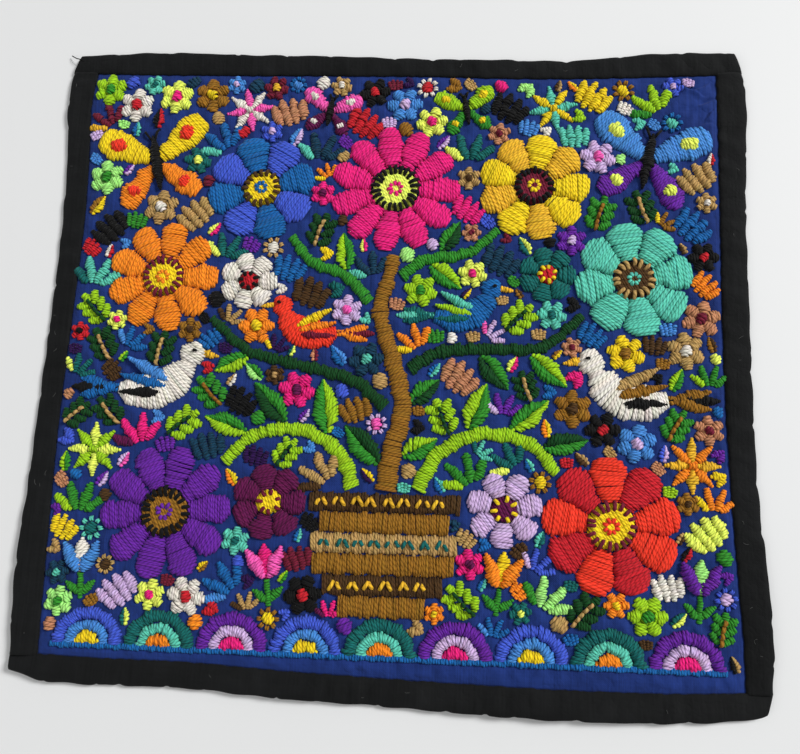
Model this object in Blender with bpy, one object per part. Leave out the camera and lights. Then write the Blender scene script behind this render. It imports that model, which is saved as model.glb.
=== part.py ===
"""An embroidered cloth, lying flat: a blue cotton ground inside four folded black border
strips, with raised satin stitch motifs of thick yarn on it.

The motifs are a generic garden: a banded pot, branching stems with leaves, flowers, birds,
butterflies, stars and tulips above a row of scallops. X runs along the cloth's width, Y towards
its upper edge, and Z up from the surface on which it lies.
"""

import math

import bmesh
import bpy
import numpy as np

MM = 0.001
TINY = 1e-4  # millimetres, under which two places count as one

# Driving sizes, in millimetres
GROUND_THICK = 1.2
STRIP_THICK = 2.2
STITCH_HIGH = 2.2
SHOULDER = 1.2  # how far a pad's rounded shoulder reaches in from its outline
SHOULDER_SHARE = 0.5  # of the stitch height, where the shoulder starts
GAP = 0.3  # between neighbouring pieces
NARROW_SHARE = 0.35  # of a narrow shape's width, the most that its shoulder takes
FOLD_ROUND = 0.6  # how far a strip's folded edge is rounded
MIDDLE_LIFT = 0.3  # of the rim's lift, at the middle of a strip
RIPPLE = 0.35  # the small ripple of the folded edge
RIPPLE_LENGTH = 23.0
RIPPLE_SWELL = 78.0  # the ripple grows and fades over this length
STATIONS = 31  # along each strip, and along each side of the ground
TABLE_STEPS = 8  # curve points for each row of a side's table
CORNER_STEPS = 4  # each brings a corner of the ground nearer to both of its seams
LEAF_ANGLE = 52.0  # between a leaf and the stem that carries it
LEAF_SEAT = 0.7  # from the stem's edge to the leaf's base
GARDEN_RISE = 2.5  # all motifs above the scallops stand this much higher than their rows say
SCALLOP_COUNT = 9
SCALLOP_PITCH = 39.4
SCALLOP_RADIUS = 19.0
SCALLOP_BASE = -160.0
SCALLOP_FOOT = 3.0
SCALLOP_POINTS = 9

# The cloth's sides as they lie. along: place on the side. rim: folded outer edge.
# seam: where the strip meets the ground. lift: height of the rim over the table.
TOP = (
    # along, rim, seam, lift
    (-199, 182.4, 171.5, 0.6),
    (-186, 183.4, 171.8, 0.2),
    (-140, 184.8, 171.0, 0.5),
    (-90, 183.4, 170.4, 0.0),
    (-40, 182.2, 170.1, 0.3),
    (10, 180.4, 169.6, 0.0),
    (60, 179.2, 168.2, 0.6),
    (100, 178.6, 167.9, 0.2),
    (150, 182.4, 168.8, 0.8),
    (186, 182.9, 169.8, 0.3),
    (199, 181.8, 170.0, 0.5),
)
BOTTOM = (
    (-199, -173.8, -166.0, 2.0),
    (-191, -175.8, -166.2, 1.8),
    (-180, -179.1, -166.4, 1.4),
    (-165, -179.8, -166.7, 0.9),
    (-145, -180.0, -167.0, 0.6),
    (-100, -179.6, -167.2, 1.0),
    (-50, -182.2, -169.2, 2.2),
    (0, -183.6, -170.6, 1.0),
    (50, -185.2, -171.6, 2.6),
    (100, -186.0, -172.2, 3.0),
    (150, -185.0, -171.6, 1.6),
    (186, -181.8, -169.6, 1.0),
    (199, -178.2, -168.8, 1.4),
)
LEFT = (
    (-172, -198.4, -184.6, 1.8),
    (-125, -200.4, -185.4, 2.2),
    (-80, -199.0, -186.0, 0.8),
    (-35, -198.0, -186.0, 0.2),
    (35, -196.2, -184.2, 0.0),
    (75, -195.6, -183.2, 0.4),
    (115, -196.8, -184.2, 0.2),
    (150, -199.6, -186.2, 0.9),
    (172, -198.0, -183.8, 0.5),
)
RIGHT = (
    (-172, 199.3, 187.0, 1.2),
    (-145, 200.6, 186.8, 2.0),
    (-110, 199.2, 185.0, 1.2),
    (-70, 196.6, 183.2, 0.3),
    (-20, 196.0, 182.0, 0.0),
    (30, 196.0, 182.0, 0.4),
    (80, 196.4, 182.8, 0.0),
    (125, 198.0, 183.4, 0.6),
    (157, 199.2, 183.4, 0.4),
    (172, 196.9, 183.4, 0.4),
)
# Where the top and bottom strips start and end, along their seam and along their rim
ENDS = {
    "border_top": ((-198.2, 197.2), (-194.0, 193.2)),
    "border_bottom": ((-198.6, 199.4), (-197.6, 195.8)),
}

# name, base colour, roughness
FABRICS = {
    "cotton_blue": ((0.020, 0.032, 0.205), 0.85),
    "cotton_black": ((0.012, 0.013, 0.014), 0.8),
}
YARN_ROUGH = 0.9
YARNS = {
    "cream": (0.79, 0.74, 0.66),
    "ochre": (0.32, 0.15, 0.012),
    "lime": (0.33, 0.60, 0.012),
    "green": (0.046, 0.34, 0.026),
    "dark_green": (0.005, 0.078, 0.012),
    "teal": (0.005, 0.13, 0.13),
    "mint": (0.107, 0.565, 0.423),
    "blue": (0.010, 0.15, 0.48),
    "sky": (0.078, 0.275, 0.716),
    "cornflower": (0.069, 0.125, 0.680),
    "purple": (0.195, 0.023, 0.462),
    "lilac": (0.610, 0.434, 0.716),
    "plum": (0.144, 0.005, 0.080),
    "hot_pink": (0.807, 0.014, 0.202),
    "pink": (0.870, 0.080, 0.434),
    "orange": (0.913, 0.254, 0.014),
    "red_orange": (0.855, 0.042, 0.018),
    "yellow": (0.887, 0.645, 0.012),
    "golden": (0.807, 0.462, 0.025),
    "neon": (0.745, 0.871, 0.107),
}

# name, x, y, radius, petals, turn, depth of the notch between two petals as a share of the radius, yarn
FLOWERS = (
    ("flower_purple", -120, -91, 36, 10, 5, 0.42, "purple"),
    ("flower_red", 120, -91, 36, 9, 12, 0.20, "red_orange"),
    ("flower_orange", -132, 42, 32, 9, 0, 0.40, "orange"),
    ("flower_mint", 134, 44, 32, 8, 10, 0.14, "mint"),
    ("flower_pink", 0, 96, 37, 11, 0, 0.34, "hot_pink"),
    ("flower_cornflower", -78, 96, 31, 8, 15, 0.14, "cornflower"),
    ("flower_golden", 79, 98, 31, 9, 0, 0.20, "yellow"),
    ("flower_plum", -63, -84, 20, 7, 0, 0.14, "plum"),
    ("flower_lilac", 64, -84, 20, 7, 10, 0.34, "lilac"),
    ("flower_cream", -82, 40, 16, 7, 0, 0.14, "cream"),
    ("flower_teal", 86.5, 46, 15.5, 7, 0, 0.14, "teal"),
)
PETAL_POINTS = 6  # of the outline, to a petal

# Height of each of the pot's stacked bands over the one below, and the band's width
POT_FOOT = -142.4
POT_BANDS = (
    # high, wide
    (11.0, 46),
    (10.8, 64),
    (11.0, 76),
    (10.8, 78),
    (11.0, 70),
    (10.2, 82),
)

# The points that each stem curves through, its width at the foot and its width at the tip
STEMS = {
    "stem_trunk": (
        ((0, -76), (3, -55), (8, -30), (2, -4), (-6, 22), (-2, 44), (0, 56.5)), 11, 7, "ochre"
    ),
    "stem_low_left": (((-17.5, -75), (-26, -56), (-48, -44), (-74, -48), (-89, -63)), 8, 6, "lime"),
    "stem_low_right": (((17.5, -75), (28, -56), (50, -44), (76, -48), (92, -64)), 8, 6, "lime"),
    "stem_mid_left": (
        ((-1.5, -30.5), (-20, -16), (-50, -8), (-80, 0), (-102, 18)), 7, 5, "dark_green"
    ),
    "stem_mid_right": (
        ((11.2, -9), (28, 1), (56, 3), (84, 5), (106, 23)), 7, 5, "dark_green"
    ),
    "stem_top_left": (((-12, 29), (-27, 44), (-46, 52), (-59, 67)), 6.5, 5, "green"),
    "stem_top_right": (((5.2, 44), (18, 54), (42, 58), (59, 72)), 6.5, 5, "green"),
}
STEM_STATIONS = 11

# stem, share of its length, side (1 left, -1 right), length, width, yarn
LEAVES = (
    ("stem_trunk", 0.10, 1, 28, 14, "green"),
    ("stem_trunk", 0.15, -1, 21, 12, "lime"),
    ("stem_trunk", 0.36, -1, 20, 11, "green"),
    ("stem_low_left", 0.34, -1, 30, 14, "green"),
    ("stem_low_left", 0.58, -1, 28, 13, "dark_green"),
    ("stem_low_left", 0.80, -1, 25, 12, "lime"),
    ("stem_low_right", 0.44, 1, 27, 13, "lime"),
    ("stem_low_right", 0.66, 1, 26, 12, "green"),
    ("stem_low_right", 0.85, 1, 24, 12, "dark_green"),
    ("stem_mid_left", 0.74, 1, 20, 11, "lime"),
    ("stem_mid_right", 0.40, -1, 24, 12, "green"),
    ("stem_mid_right", 0.66, -1, 26, 12, "lime"),
    ("stem_top_left", 0.36, -1, 22, 11, "lime"),
    ("stem_top_right", 0.30, -1, 22, 11, "lime"),
    ("stem_top_right", 0.42, 1, 20, 10, "green"),
)
LEAF_STATIONS = 7
LEAF_BELLY = 0.8  # under 1, the leaf is widest nearer its base
LEAF_FULLNESS = 0.85  # under 1, its sides are rounder

# name, x, y, size, faces left, yarn
BIRDS = (
    ("bird_white_left", -132, -20, 1.0, False, "cream"),
    ("bird_white_right", 131, -20, 1.0, True, "cream"),
    ("bird_red", -46, 13, 0.78, True, "red_orange"),
    ("bird_blue", 40, 24, 0.78, False, "blue"),
)
# Round a bird that faces right, from its beak over its back, wing tip and tail to its breast
BIRD_OUTLINE = (
    (36.5, 15.3), (29, 19.5), (21, 24.2), (13.8, 20.5), (10, 12), (2, 9),
    (-16, 15.5), (-17, 7), (-26, 4), (-40, 5.5), (-48, -3), (-40, -11),
    (-24, -8), (-14, -13.5), (0, -13.5), (12, -6.5), (21, 3), (26.5, 11.5),
)

# name, x, y, size, turn, yarn
BUTTERFLIES = (
    ("butterfly_left", -142, 112, 1.25, 12, "yellow"),
    ("butterfly_right", 143, 114, 1.25, -12, "sky"),
    ("butterfly_top_left", -40, 144, 0.66, -10, "pink"),
    ("butterfly_top_right", 40, 145, 0.66, 10, "lime"),
)
# The right half of a butterfly, from the foot of its body round both wings to its head
BUTTERFLY_HALF = (
    (1.8, -13), (4.1, -9.8), (10.1, -18.4), (18.3, -19.3), (17.9, -11), (9.7, -4.4), (5.2, -0.8),
    (11.9, 2.1), (23.3, 7.2), (26, 17), (15.3, 19.4), (6.1, 10.9), (2.2, 9.5), (1.6, 13.2),
)

# name, x, y, radius, arms, turn, yarn
STARS = (
    ("star_left", -163, -58, 15, 8, 0, "neon"),
    ("star_right", 163, -58, 15, 8, 0, "golden"),
    ("star_top_left", -88, 145, 14, 8, 11, "pink"),
    ("star_top_right", 90, 146, 14, 8, 11, "mint"),
)
STAR_NOTCH = 0.42  # of the radius, between two arms

# name, x, y, size, turn, yarn
TULIPS = (
    ("tulip_left", -62, -124, 0.82, 8, "pink"),
    ("tulip_right", 62, -124, 0.82, -8, "orange"),
    ("tulip_far_left", -164, -124, 0.80, 4, "sky"),
    ("tulip_far_right", 165, -124, 0.80, -4, "purple"),
)
# The right half of a tulip, from the foot of its stalk round its leaf and petals to its tip
TULIP_HALF = (
    (1.6, -18), (6.2, -13.2), (10.4, -6.3), (3.8, -8.4), (1.8, -7.2), (1.8, -2),
    (6.8, 0.8), (11.2, 8), (12.4, 19.6), (5.6, 16.6),
)
TULIP_TIP = (0, 22.4)


def clear_scene():
    for obj in list(bpy.data.objects):
        bpy.data.objects.remove(obj, do_unlink=True)


def make_material(name, colour, roughness):
    material = bpy.data.materials.new(name)
    material.use_nodes = True
    surface = material.node_tree.nodes["Principled BSDF"]
    surface.inputs["Base Color"].default_value = (*colour, 1)
    surface.inputs["Roughness"].default_value = roughness
    surface.inputs["Metallic"].default_value = 0
    material.diffuse_color = (*colour, 1)
    return material


def make_materials():
    made = {name: make_material(name, *look) for name, look in FABRICS.items()}
    for name, colour in YARNS.items():
        made[name] = make_material("yarn_" + name, colour, YARN_ROUGH)
    return made


def smooth_curve(points, count):
    """Points at even steps of the parameter on the Catmull-Rom curve through the given ones."""
    p = np.array(points, float)
    p = np.vstack([2 * p[0] - p[1], p, 2 * p[-1] - p[-2]])
    spans = len(p) - 3
    t = np.linspace(0, spans, count)
    i = np.minimum(t.astype(int), spans - 1)
    f = (t - i)[:, None]
    a, b, c, d = p[i], p[i + 1], p[i + 2], p[i + 3]
    return 0.5 * (2 * b + (c - a) * f + (2 * a - 5 * b + 4 * c - d) * f**2 + (3 * b - a - 3 * c + d) * f**3)


def smooth_table(side):
    """A side's rows, filled in along a smooth curve."""
    return smooth_curve(side, TABLE_STEPS * len(side))


def side_value(table, along, column):
    return np.interp(along, table[:, 0], table[:, column])


def directions(path):
    """Unit tangents of a path, and the normals to its left."""
    step = np.gradient(path, axis=0)
    tangent = step / np.linalg.norm(step, axis=1, keepdims=True)
    return tangent, np.c_[-tangent[:, 1], tangent[:, 0]]


def turned(points, degrees):
    angle = math.radians(degrees)
    c, s = math.cos(angle), math.sin(angle)
    return np.asarray(points, float) @ np.array([[c, s], [-s, c]])


def placed(points, x, y, size=1.0, turn=0.0):
    return turned(np.asarray(points, float) * size, turn) + (x, y + GARDEN_RISE)


def loft(name, rings, material):
    """A closed solid through rings of equally many points, given in millimetres."""
    mesh = bpy.data.meshes.new(name)
    bm = bmesh.new()
    loops = [[bm.verts.new([v * MM for v in point]) for point in ring] for ring in rings]
    bm.faces.new(loops[0][::-1])
    bm.faces.new(loops[-1])
    for low, high in zip(loops, loops[1:]):
        for k in range(len(low)):
            n = (k + 1) % len(low)
            bm.faces.new((low[k], low[n], high[n], high[k]))
    bmesh.ops.recalc_face_normals(bm, faces=bm.faces)
    bm.to_mesh(mesh)
    bm.free()
    mesh.materials.append(material)
    obj = bpy.data.objects.new(name, mesh)
    bpy.context.scene.collection.objects.link(obj)
    return obj


def inset(outline, depth):
    """The outline moved inwards by depth, and by less where the shape is too narrow for it.

    From each point a line runs inwards, square to the outline, to where it meets the far side:
    that is the shape's width there.
    """
    before = outline - np.roll(outline, 1, axis=0)
    after = np.roll(outline, -1, axis=0) - outline
    along = before / np.linalg.norm(before, axis=1, keepdims=True)
    along = along + after / np.linalg.norm(after, axis=1, keepdims=True)
    inward = np.c_[-along[:, 1], along[:, 0]]
    inward /= np.linalg.norm(inward, axis=1, keepdims=True)
    start = outline[:, None, :] - outline[None, :, :]
    cross = inward[:, None, 0] * after[None, :, 1] - inward[:, None, 1] * after[None, :, 0]
    cross = np.where(abs(cross) < TINY**2, TINY**2, cross)
    reach = -(start[..., 0] * after[None, :, 1] - start[..., 1] * after[None, :, 0]) / cross
    share = (start[..., 1] * inward[:, None, 0] - start[..., 0] * inward[:, None, 1]) / -cross
    hits = (reach > TINY) & (share >= -TINY) & (share <= 1 + TINY)
    width = np.where(hits, reach, np.inf).min(axis=1)
    return outline + inward * np.minimum(depth, NARROW_SHARE * width)[:, None]


def at_height(outline, z):
    return np.c_[outline, np.full(len(outline), z)]


def stitched_pad(name, outline, material):
    """A raised block of satin stitch that fills the outline, which runs anticlockwise."""
    outline = np.asarray(outline, float)
    x, y = outline.T
    if np.sum(x * np.roll(y, -1) - y * np.roll(x, -1)) < 0:
        outline = outline[::-1]
    foot = GROUND_THICK + GAP
    rings = (
        at_height(outline, foot),
        at_height(outline, foot + STITCH_HIGH * SHOULDER_SHARE),
        at_height(inset(outline, SHOULDER), foot + STITCH_HIGH),
    )
    return loft(name, rings, material)


def flower_outline(radius, petals, notch):
    angle = np.arange(petals * PETAL_POINTS) * math.tau / (petals * PETAL_POINTS)
    reach = radius * (1 - notch * (1 - np.sqrt(abs(np.cos(petals * angle / 2)))))
    return np.c_[np.cos(angle), np.sin(angle)] * reach[:, None]


def leaf_outline(length, width):
    """A pointed leaf along +X from its base at the origin."""
    share = np.linspace(0, 1, LEAF_STATIONS + 2)
    half = width / 2 * np.sin(math.pi * share**LEAF_BELLY) ** LEAF_FULLNESS
    upper = np.c_[length * share, half]
    lower = np.c_[length * share, -half][1:-1]
    return np.vstack([lower, upper[::-1]])


def star_outline(radius, arms):
    angle = np.arange(2 * arms) * math.pi / arms
    reach = np.where(np.arange(2 * arms) % 2 == 0, radius, radius * STAR_NOTCH)
    return np.c_[np.cos(angle), np.sin(angle)] * reach[:, None]


def stem_shape(points, wide, narrow):
    """The centre line of a stem, and half its width along it."""
    path = smooth_curve(points, STEM_STATIONS)
    return path, np.linspace(wide, narrow, len(path)) / 2


def stem_outline(points, wide, narrow):
    path, half = stem_shape(points, wide, narrow)
    normal = directions(path)[1]
    return np.vstack([path - normal * half[:, None], (path + normal * half[:, None])[::-1]])


def leaf_seat(stem, share, side):
    """Where a leaf starts beside its stem, and the angle at which it points."""
    points, wide, narrow, _ = STEMS[stem]
    path, half = stem_shape(points, wide, narrow)
    tangent, normal = directions(path)
    run = np.r_[0, np.cumsum(np.linalg.norm(np.diff(path, axis=0), axis=1))]
    run /= run[-1]
    centre = np.array([np.interp(share, run, path[:, k]) for k in (0, 1)])
    across = np.array([np.interp(share, run, normal[:, k]) for k in (0, 1)])
    ahead = np.array([np.interp(share, run, tangent[:, k]) for k in (0, 1)])
    start = centre + side * across * (np.interp(share, run, half) + LEAF_SEAT)
    return start, math.degrees(math.atan2(ahead[1], ahead[0])) + side * LEAF_ANGLE


def half_turned_over(half, tip=()):
    """A symmetric outline from its right half, which runs from the foot to the tip."""
    right = [tuple(point) for point in half]
    left = [(-x, y) for x, y in right[::-1]]
    return right + list(tip) + left


def smooth_loop(points):
    """A closed outline with one more point, on a smooth curve, between each two."""
    return smooth_curve([*points, points[0]], 2 * len(points) + 1)[:-1]


def bird_outline(faces_left):
    outline = smooth_loop(BIRD_OUTLINE)
    return outline * (-1, 1) if faces_left else outline


def scallop_outline():
    """A row of half rounds that stand on one narrow foot."""
    end = SCALLOP_PITCH * SCALLOP_COUNT / 2
    low = SCALLOP_BASE - SCALLOP_FOOT / 2
    high = SCALLOP_BASE + SCALLOP_FOOT / 2
    points = [(-end, low), (end, low), (end, high)]
    first = math.asin(SCALLOP_FOOT / 2 / SCALLOP_RADIUS)
    for k in range(SCALLOP_COUNT)[::-1]:
        x = (k - (SCALLOP_COUNT - 1) / 2) * SCALLOP_PITCH
        for angle in np.linspace(first, math.pi - first, SCALLOP_POINTS):
            out, up = math.cos(angle), math.sin(angle)
            points.append((x + SCALLOP_RADIUS * out, SCALLOP_BASE + SCALLOP_RADIUS * up))
    points.append((-end, high))
    return points


def pot_outline():
    right = []
    y = POT_FOOT
    for high, wide in POT_BANDS:
        right += [(wide / 2, y), (wide / 2, y + high)]
        y += high
    return placed(half_turned_over(right), 0, 0)


def ripple(along):
    return RIPPLE * np.sin(math.tau * along / RIPPLE_LENGTH) * np.cos(math.pi * along / RIPPLE_SWELL)


def strip_rings(seam, rim, lift):
    """Sections of a folded strip from its seam, given as points, to its raised and rounded rim."""
    out = rim - seam
    out = out / np.linalg.norm(out, axis=1, keepdims=True)
    middle = (seam + rim) / 2
    shoulder = rim - out * FOLD_ROUND
    rows = (
        (seam, 0 * lift),
        (middle, MIDDLE_LIFT * lift),
        (shoulder, lift),
        (rim, lift + STRIP_THICK / 2),
        (shoulder, lift + STRIP_THICK),
        (middle, MIDDLE_LIFT * lift + STRIP_THICK),
        (seam, 0 * lift + STRIP_THICK),
    )
    corners = [np.c_[place, height] for place, height in rows]
    return np.swapaxes(np.array(corners), 0, 1)


def long_strip(name, side, material):
    """The top or bottom strip, which runs the full width of the cloth, its ends cut aslant."""
    table = smooth_table(side)
    seam_x, rim_x = (np.linspace(*ends, STATIONS) for ends in ENDS[name])
    outward = 1 if side[0][1] > 0 else -1
    seam = np.c_[seam_x, side_value(table, seam_x, 2)]
    rim = np.c_[rim_x, side_value(table, rim_x, 1) + outward * ripple(rim_x)]
    return loft(name, strip_rings(seam, rim, side_value(table, rim_x, 3)), material)


def short_strip(name, side, material):
    """The left or right strip, which is butted between the two long ones."""
    table, top, bottom = smooth_table(side), smooth_table(TOP), smooth_table(BOTTOM)
    outward = 1 if side[0][1] > 0 else -1
    share = np.linspace(0, 1, STATIONS)
    y = side[0][0] + (side[-1][0] - side[0][0]) * share
    edges = []
    for x in (side_value(table, y, 2), side_value(table, y, 1) + outward * ripple(y)):
        low = side_value(bottom, x, 2) + GAP
        high = side_value(top, x, 2) - GAP
        edges.append(np.c_[x, low + (high - low) * share])
    return loft(name, strip_rings(*edges, side_value(table, y, 3)), material)


def ground_outline():
    """Just inside the four seams, anticlockwise from the lower left corner.

    A corner is where a side seam's curve meets an upper or lower one, found in a few steps.
    """
    top, bottom, left, right = (smooth_table(side) for side in (TOP, BOTTOM, LEFT, RIGHT))
    corners = []
    for side, table in ((-1, left), (1, right)):
        for edge in (bottom, top):
            y = edge[0, 2]
            for _ in range(CORNER_STEPS):
                x = side_value(table, y, 2) - side * GAP
                y = side_value(edge, x, 2)
            corners.append((x, y))
    share = np.linspace(0, 1, STATIONS)[:-1]
    (low_left, high_left, low_right, high_right) = corners
    x = low_left[0] + (low_right[0] - low_left[0]) * share
    lower = np.c_[x, side_value(bottom, x, 2) + GAP]
    y = low_right[1] + (high_right[1] - low_right[1]) * share
    rightward = np.c_[side_value(right, y, 2) - GAP, y]
    x = high_right[0] + (high_left[0] - high_right[0]) * share
    upper = np.c_[x, side_value(top, x, 2) - GAP]
    y = high_left[1] + (low_left[1] - high_left[1]) * share
    leftward = np.c_[side_value(left, y, 2) + GAP, y]
    rightward[0, 1] = side_value(bottom, rightward[0, 0], 2) + GAP
    leftward[0, 1] = side_value(top, leftward[0, 0], 2) - GAP
    return np.vstack([lower, rightward, upper, leftward])


def build_cloth(materials):
    outline = ground_outline()
    loft("ground_cloth", (at_height(outline, 0), at_height(outline, GROUND_THICK)), materials["cotton_blue"])
    long_strip("border_top", TOP, materials["cotton_black"])
    long_strip("border_bottom", BOTTOM, materials["cotton_black"])
    short_strip("border_left", LEFT, materials["cotton_black"])
    short_strip("border_right", RIGHT, materials["cotton_black"])


def build_garden(materials):
    stitched_pad("scallop_row", scallop_outline(), materials["blue"])
    stitched_pad("pot", pot_outline(), materials["ochre"])
    for name, (points, wide, narrow, yarn) in STEMS.items():
        stitched_pad(name, placed(stem_outline(points, wide, narrow), 0, 0), materials[yarn])
    for number, (stem, share, side, length, width, yarn) in enumerate(LEAVES, 1):
        start, angle = leaf_seat(stem, share, side)
        outline = placed(leaf_outline(length, width), *start, turn=angle)
        stitched_pad(f"leaf_{number:02d}", outline, materials[yarn])
    for name, x, y, radius, petals, turn, notch, yarn in FLOWERS:
        outline = placed(flower_outline(radius, petals, notch), x, y, turn=turn)
        stitched_pad(name, outline, materials[yarn])
    for name, x, y, size, faces_left, yarn in BIRDS:
        stitched_pad(name, placed(bird_outline(faces_left), x, y, size), materials[yarn])
    for name, x, y, size, turn, yarn in BUTTERFLIES:
        outline = smooth_loop(half_turned_over(BUTTERFLY_HALF))
        stitched_pad(name, placed(outline, x, y, size, turn), materials[yarn])
    for name, x, y, radius, arms, turn, yarn in STARS:
        stitched_pad(name, placed(star_outline(radius, arms), x, y, turn=turn), materials[yarn])
    for name, x, y, size, turn, yarn in TULIPS:
        outline = half_turned_over(TULIP_HALF, (TULIP_TIP,))
        stitched_pad(name, placed(outline, x, y, size, turn), materials[yarn])


def centre_on_origin():
    """Moves every mesh so that the middle of the whole cloth's box is on the Z axis."""
    meshes = [obj.data for obj in bpy.context.scene.objects]
    points = np.array([vertex.co[:] for mesh in meshes for vertex in mesh.vertices])
    middle = (points.min(axis=0) + points.max(axis=0)) / 2
    for mesh in meshes:
        for vertex in mesh.vertices:
            vertex.co.x -= middle[0]
            vertex.co.y -= middle[1]


clear_scene()
fabric = make_materials()
build_cloth(fabric)
build_garden(fabric)
centre_on_origin()
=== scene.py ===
import math
from math import pi, tau

import bpy
import numpy as np
from mathutils import Matrix, Vector


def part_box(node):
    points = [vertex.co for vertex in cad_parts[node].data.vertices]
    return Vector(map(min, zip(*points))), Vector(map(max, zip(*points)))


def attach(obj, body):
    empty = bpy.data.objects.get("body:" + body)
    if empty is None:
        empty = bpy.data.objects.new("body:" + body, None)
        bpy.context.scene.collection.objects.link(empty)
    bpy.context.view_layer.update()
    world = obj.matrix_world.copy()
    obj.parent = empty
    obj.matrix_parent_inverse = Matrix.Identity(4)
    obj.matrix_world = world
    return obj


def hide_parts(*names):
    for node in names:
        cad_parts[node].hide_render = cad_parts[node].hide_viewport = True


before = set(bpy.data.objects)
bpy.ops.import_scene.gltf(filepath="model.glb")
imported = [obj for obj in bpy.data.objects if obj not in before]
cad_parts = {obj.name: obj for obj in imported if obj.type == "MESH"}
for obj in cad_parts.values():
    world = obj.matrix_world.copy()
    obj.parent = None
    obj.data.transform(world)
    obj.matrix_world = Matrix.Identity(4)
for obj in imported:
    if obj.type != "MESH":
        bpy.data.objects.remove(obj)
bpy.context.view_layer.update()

# All sizes here are millimetres. A mesh is turned into metres when it is made.
mm = 0.001
chance = np.random.default_rng(11)

# The dyed shades of the wool, as colour codes
shades = dict(
    cream="#e8e2d6", ochre="#93661c", tan="#b8955a", darkBrown="#4a3216", peach="#c08560",
    lime="#9ccc1c", green="#318a28", darkGreen="#0d431a", teal="#0f6460", petrol="#0f3a52",
    mint="#5cc6ae", blue="#1562a6", sky="#4789d2", cornflower="#415acb", purple="#66249c",
    darkPurple="#2a0a48", lilac="#cdb0dc", plum="#5e1046", hotPink="#e8207c", pink="#f05ab0",
    orange="#f58a1f", redOrange="#ee3a24", red="#c41e2a", maroon="#701830", yellow="#f2d21c",
    golden="#e8b52c", neon="#e9f865", paleLime="#a8ee80", black="#0b0b0b",
)

# The yarn as it lies in satin stitch
yarn = dict(
    pitch=1.36,  # from one row to the next
    wide=0.61,  # half a row's width, as a share of the pitch: neighbours press together
    halfLimits=(0.54, 1.15),  # half a row is never thinner or wider
    highHalf=0.62,  # half the yarn's height
    rootSize=0.66,  # its thickness where it leaves the cloth, as a share of the whole
    rootPaintedShade=0.62,  # painted shade: its colour is darkened to this share where it leaves the cloth, for the shadow there
    peak=1.72,  # of a long row's middle line over the ground's face
    shortPeak=0.55,  # of the shortest row's
    peakGain=0.17,  # more for each millimetre of length
    layerRise=1.75,  # a row stitched over others stands this much higher
    crown=0.45,  # and this much more in the middle of a row of 20 mm
    riseRun=3.0,  # a long row has risen this far from its end
    riseShare=0.36,  # of a short row's length
    sink=0.3,  # its ends dip this far under the ground's face
    # spread and limit of single ends, heights, gaps (as a share of the pitch) and shades
    endStray=(0.36, 0.75),
    peakStray=(0.13, 0.25),
    gapStray=(0.09, 0.3),
    shadeStray=(0.075, 0.16),
    hueStray=0.02,
    calmLength=6.0,  # shorter rows stray less
    edgeStray=0.42,  # a whole block's edge wanders this far, over this length
    edgeLength=11.0,
    bow=0.16,
    leanStray=1.3,  # degrees, of single rows, then of a stretch of rows
    leanDrift=3.2,
    outerRow=0.66,  # the first and last row of a block reach this share of the height,
    nextRow=0.89,  # and the ones beside them this share
    lay=(0.84, 1.22),  # a row's twist is drawn out or pressed together by this much
)
# How finely rows are made: those shorter than this, the stations over the rise as shares of it, and
# whether one more lies in the middle
rowForms = (
    (3.2, (0, 0.5), True), (5.5, (0, 0.22, 1.0), False), (12.0, (0, 0.06, 0.30, 1.0), False),
    (1e4, (0, 0.06, 0.30, 1.0), True),
)
# The section of a row: the angles of its corners. The lowest one is left out, since nobody sees it.
sectionAngles = np.radians([-30, 30, 90, 150, 210])


def linearColour(code):
    # The usual display curve taken back: ((c + 0.055) / 1.055) to the power 2.4, or c / 12.92 near black.
    c = np.array([int(code[k:k + 2], 16) for k in (1, 3, 5)]) / 255
    return np.where(c > 0.04045, ((c + 0.055) / 1.055) ** 2.4, c / 12.92)


def boxOf(node):
    low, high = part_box(node)
    return np.array(low) / mm, np.array(high) / mm


def eased(share):
    # From nought to one, level at both ends: s squared times 3 - 2s.
    return share * share * (3 - 2 * share)


def smoothPath(points, count=200):
    # Catmull-Rom: each span is a cubic through its two points, whose slopes come from their neighbours.
    p = np.asarray(points, float)
    p = np.vstack([2 * p[0] - p[1], p, 2 * p[-1] - p[-2]])
    spans = len(p) - 3
    t = np.linspace(0, spans, count)
    i = np.minimum(t.astype(int), spans - 1)
    f = (t - i)[:, None]
    a, b, c, d = p[i], p[i + 1], p[i + 2], p[i + 3]
    return 0.5 * (2 * b + (c - a) * f + (2 * a - 5 * b + 4 * c - d) * f**2 + (3 * b - a - 3 * c + d) * f**3)


def alongPath(path):
    # Tangents from the differences of neighbours, normals a quarter turn to the left, and the run so far.
    step = np.gradient(path, axis=0)
    tangent = step / np.linalg.norm(step, axis=1, keepdims=True)
    run = np.r_[0, np.cumsum(np.linalg.norm(np.diff(path, axis=0), axis=1))]
    return tangent, np.c_[-tangent[:, 1], tangent[:, 0]], run


def between(s, run, values):
    # Both columns of the values, read at the places s of the run.
    return np.stack([np.interp(s, run, values[:, k]) for k in (0, 1)], axis=-1)


def rotation(degrees):
    a = math.radians(degrees)
    return np.array([[math.cos(a), -math.sin(a)], [math.sin(a), math.cos(a)]])


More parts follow.
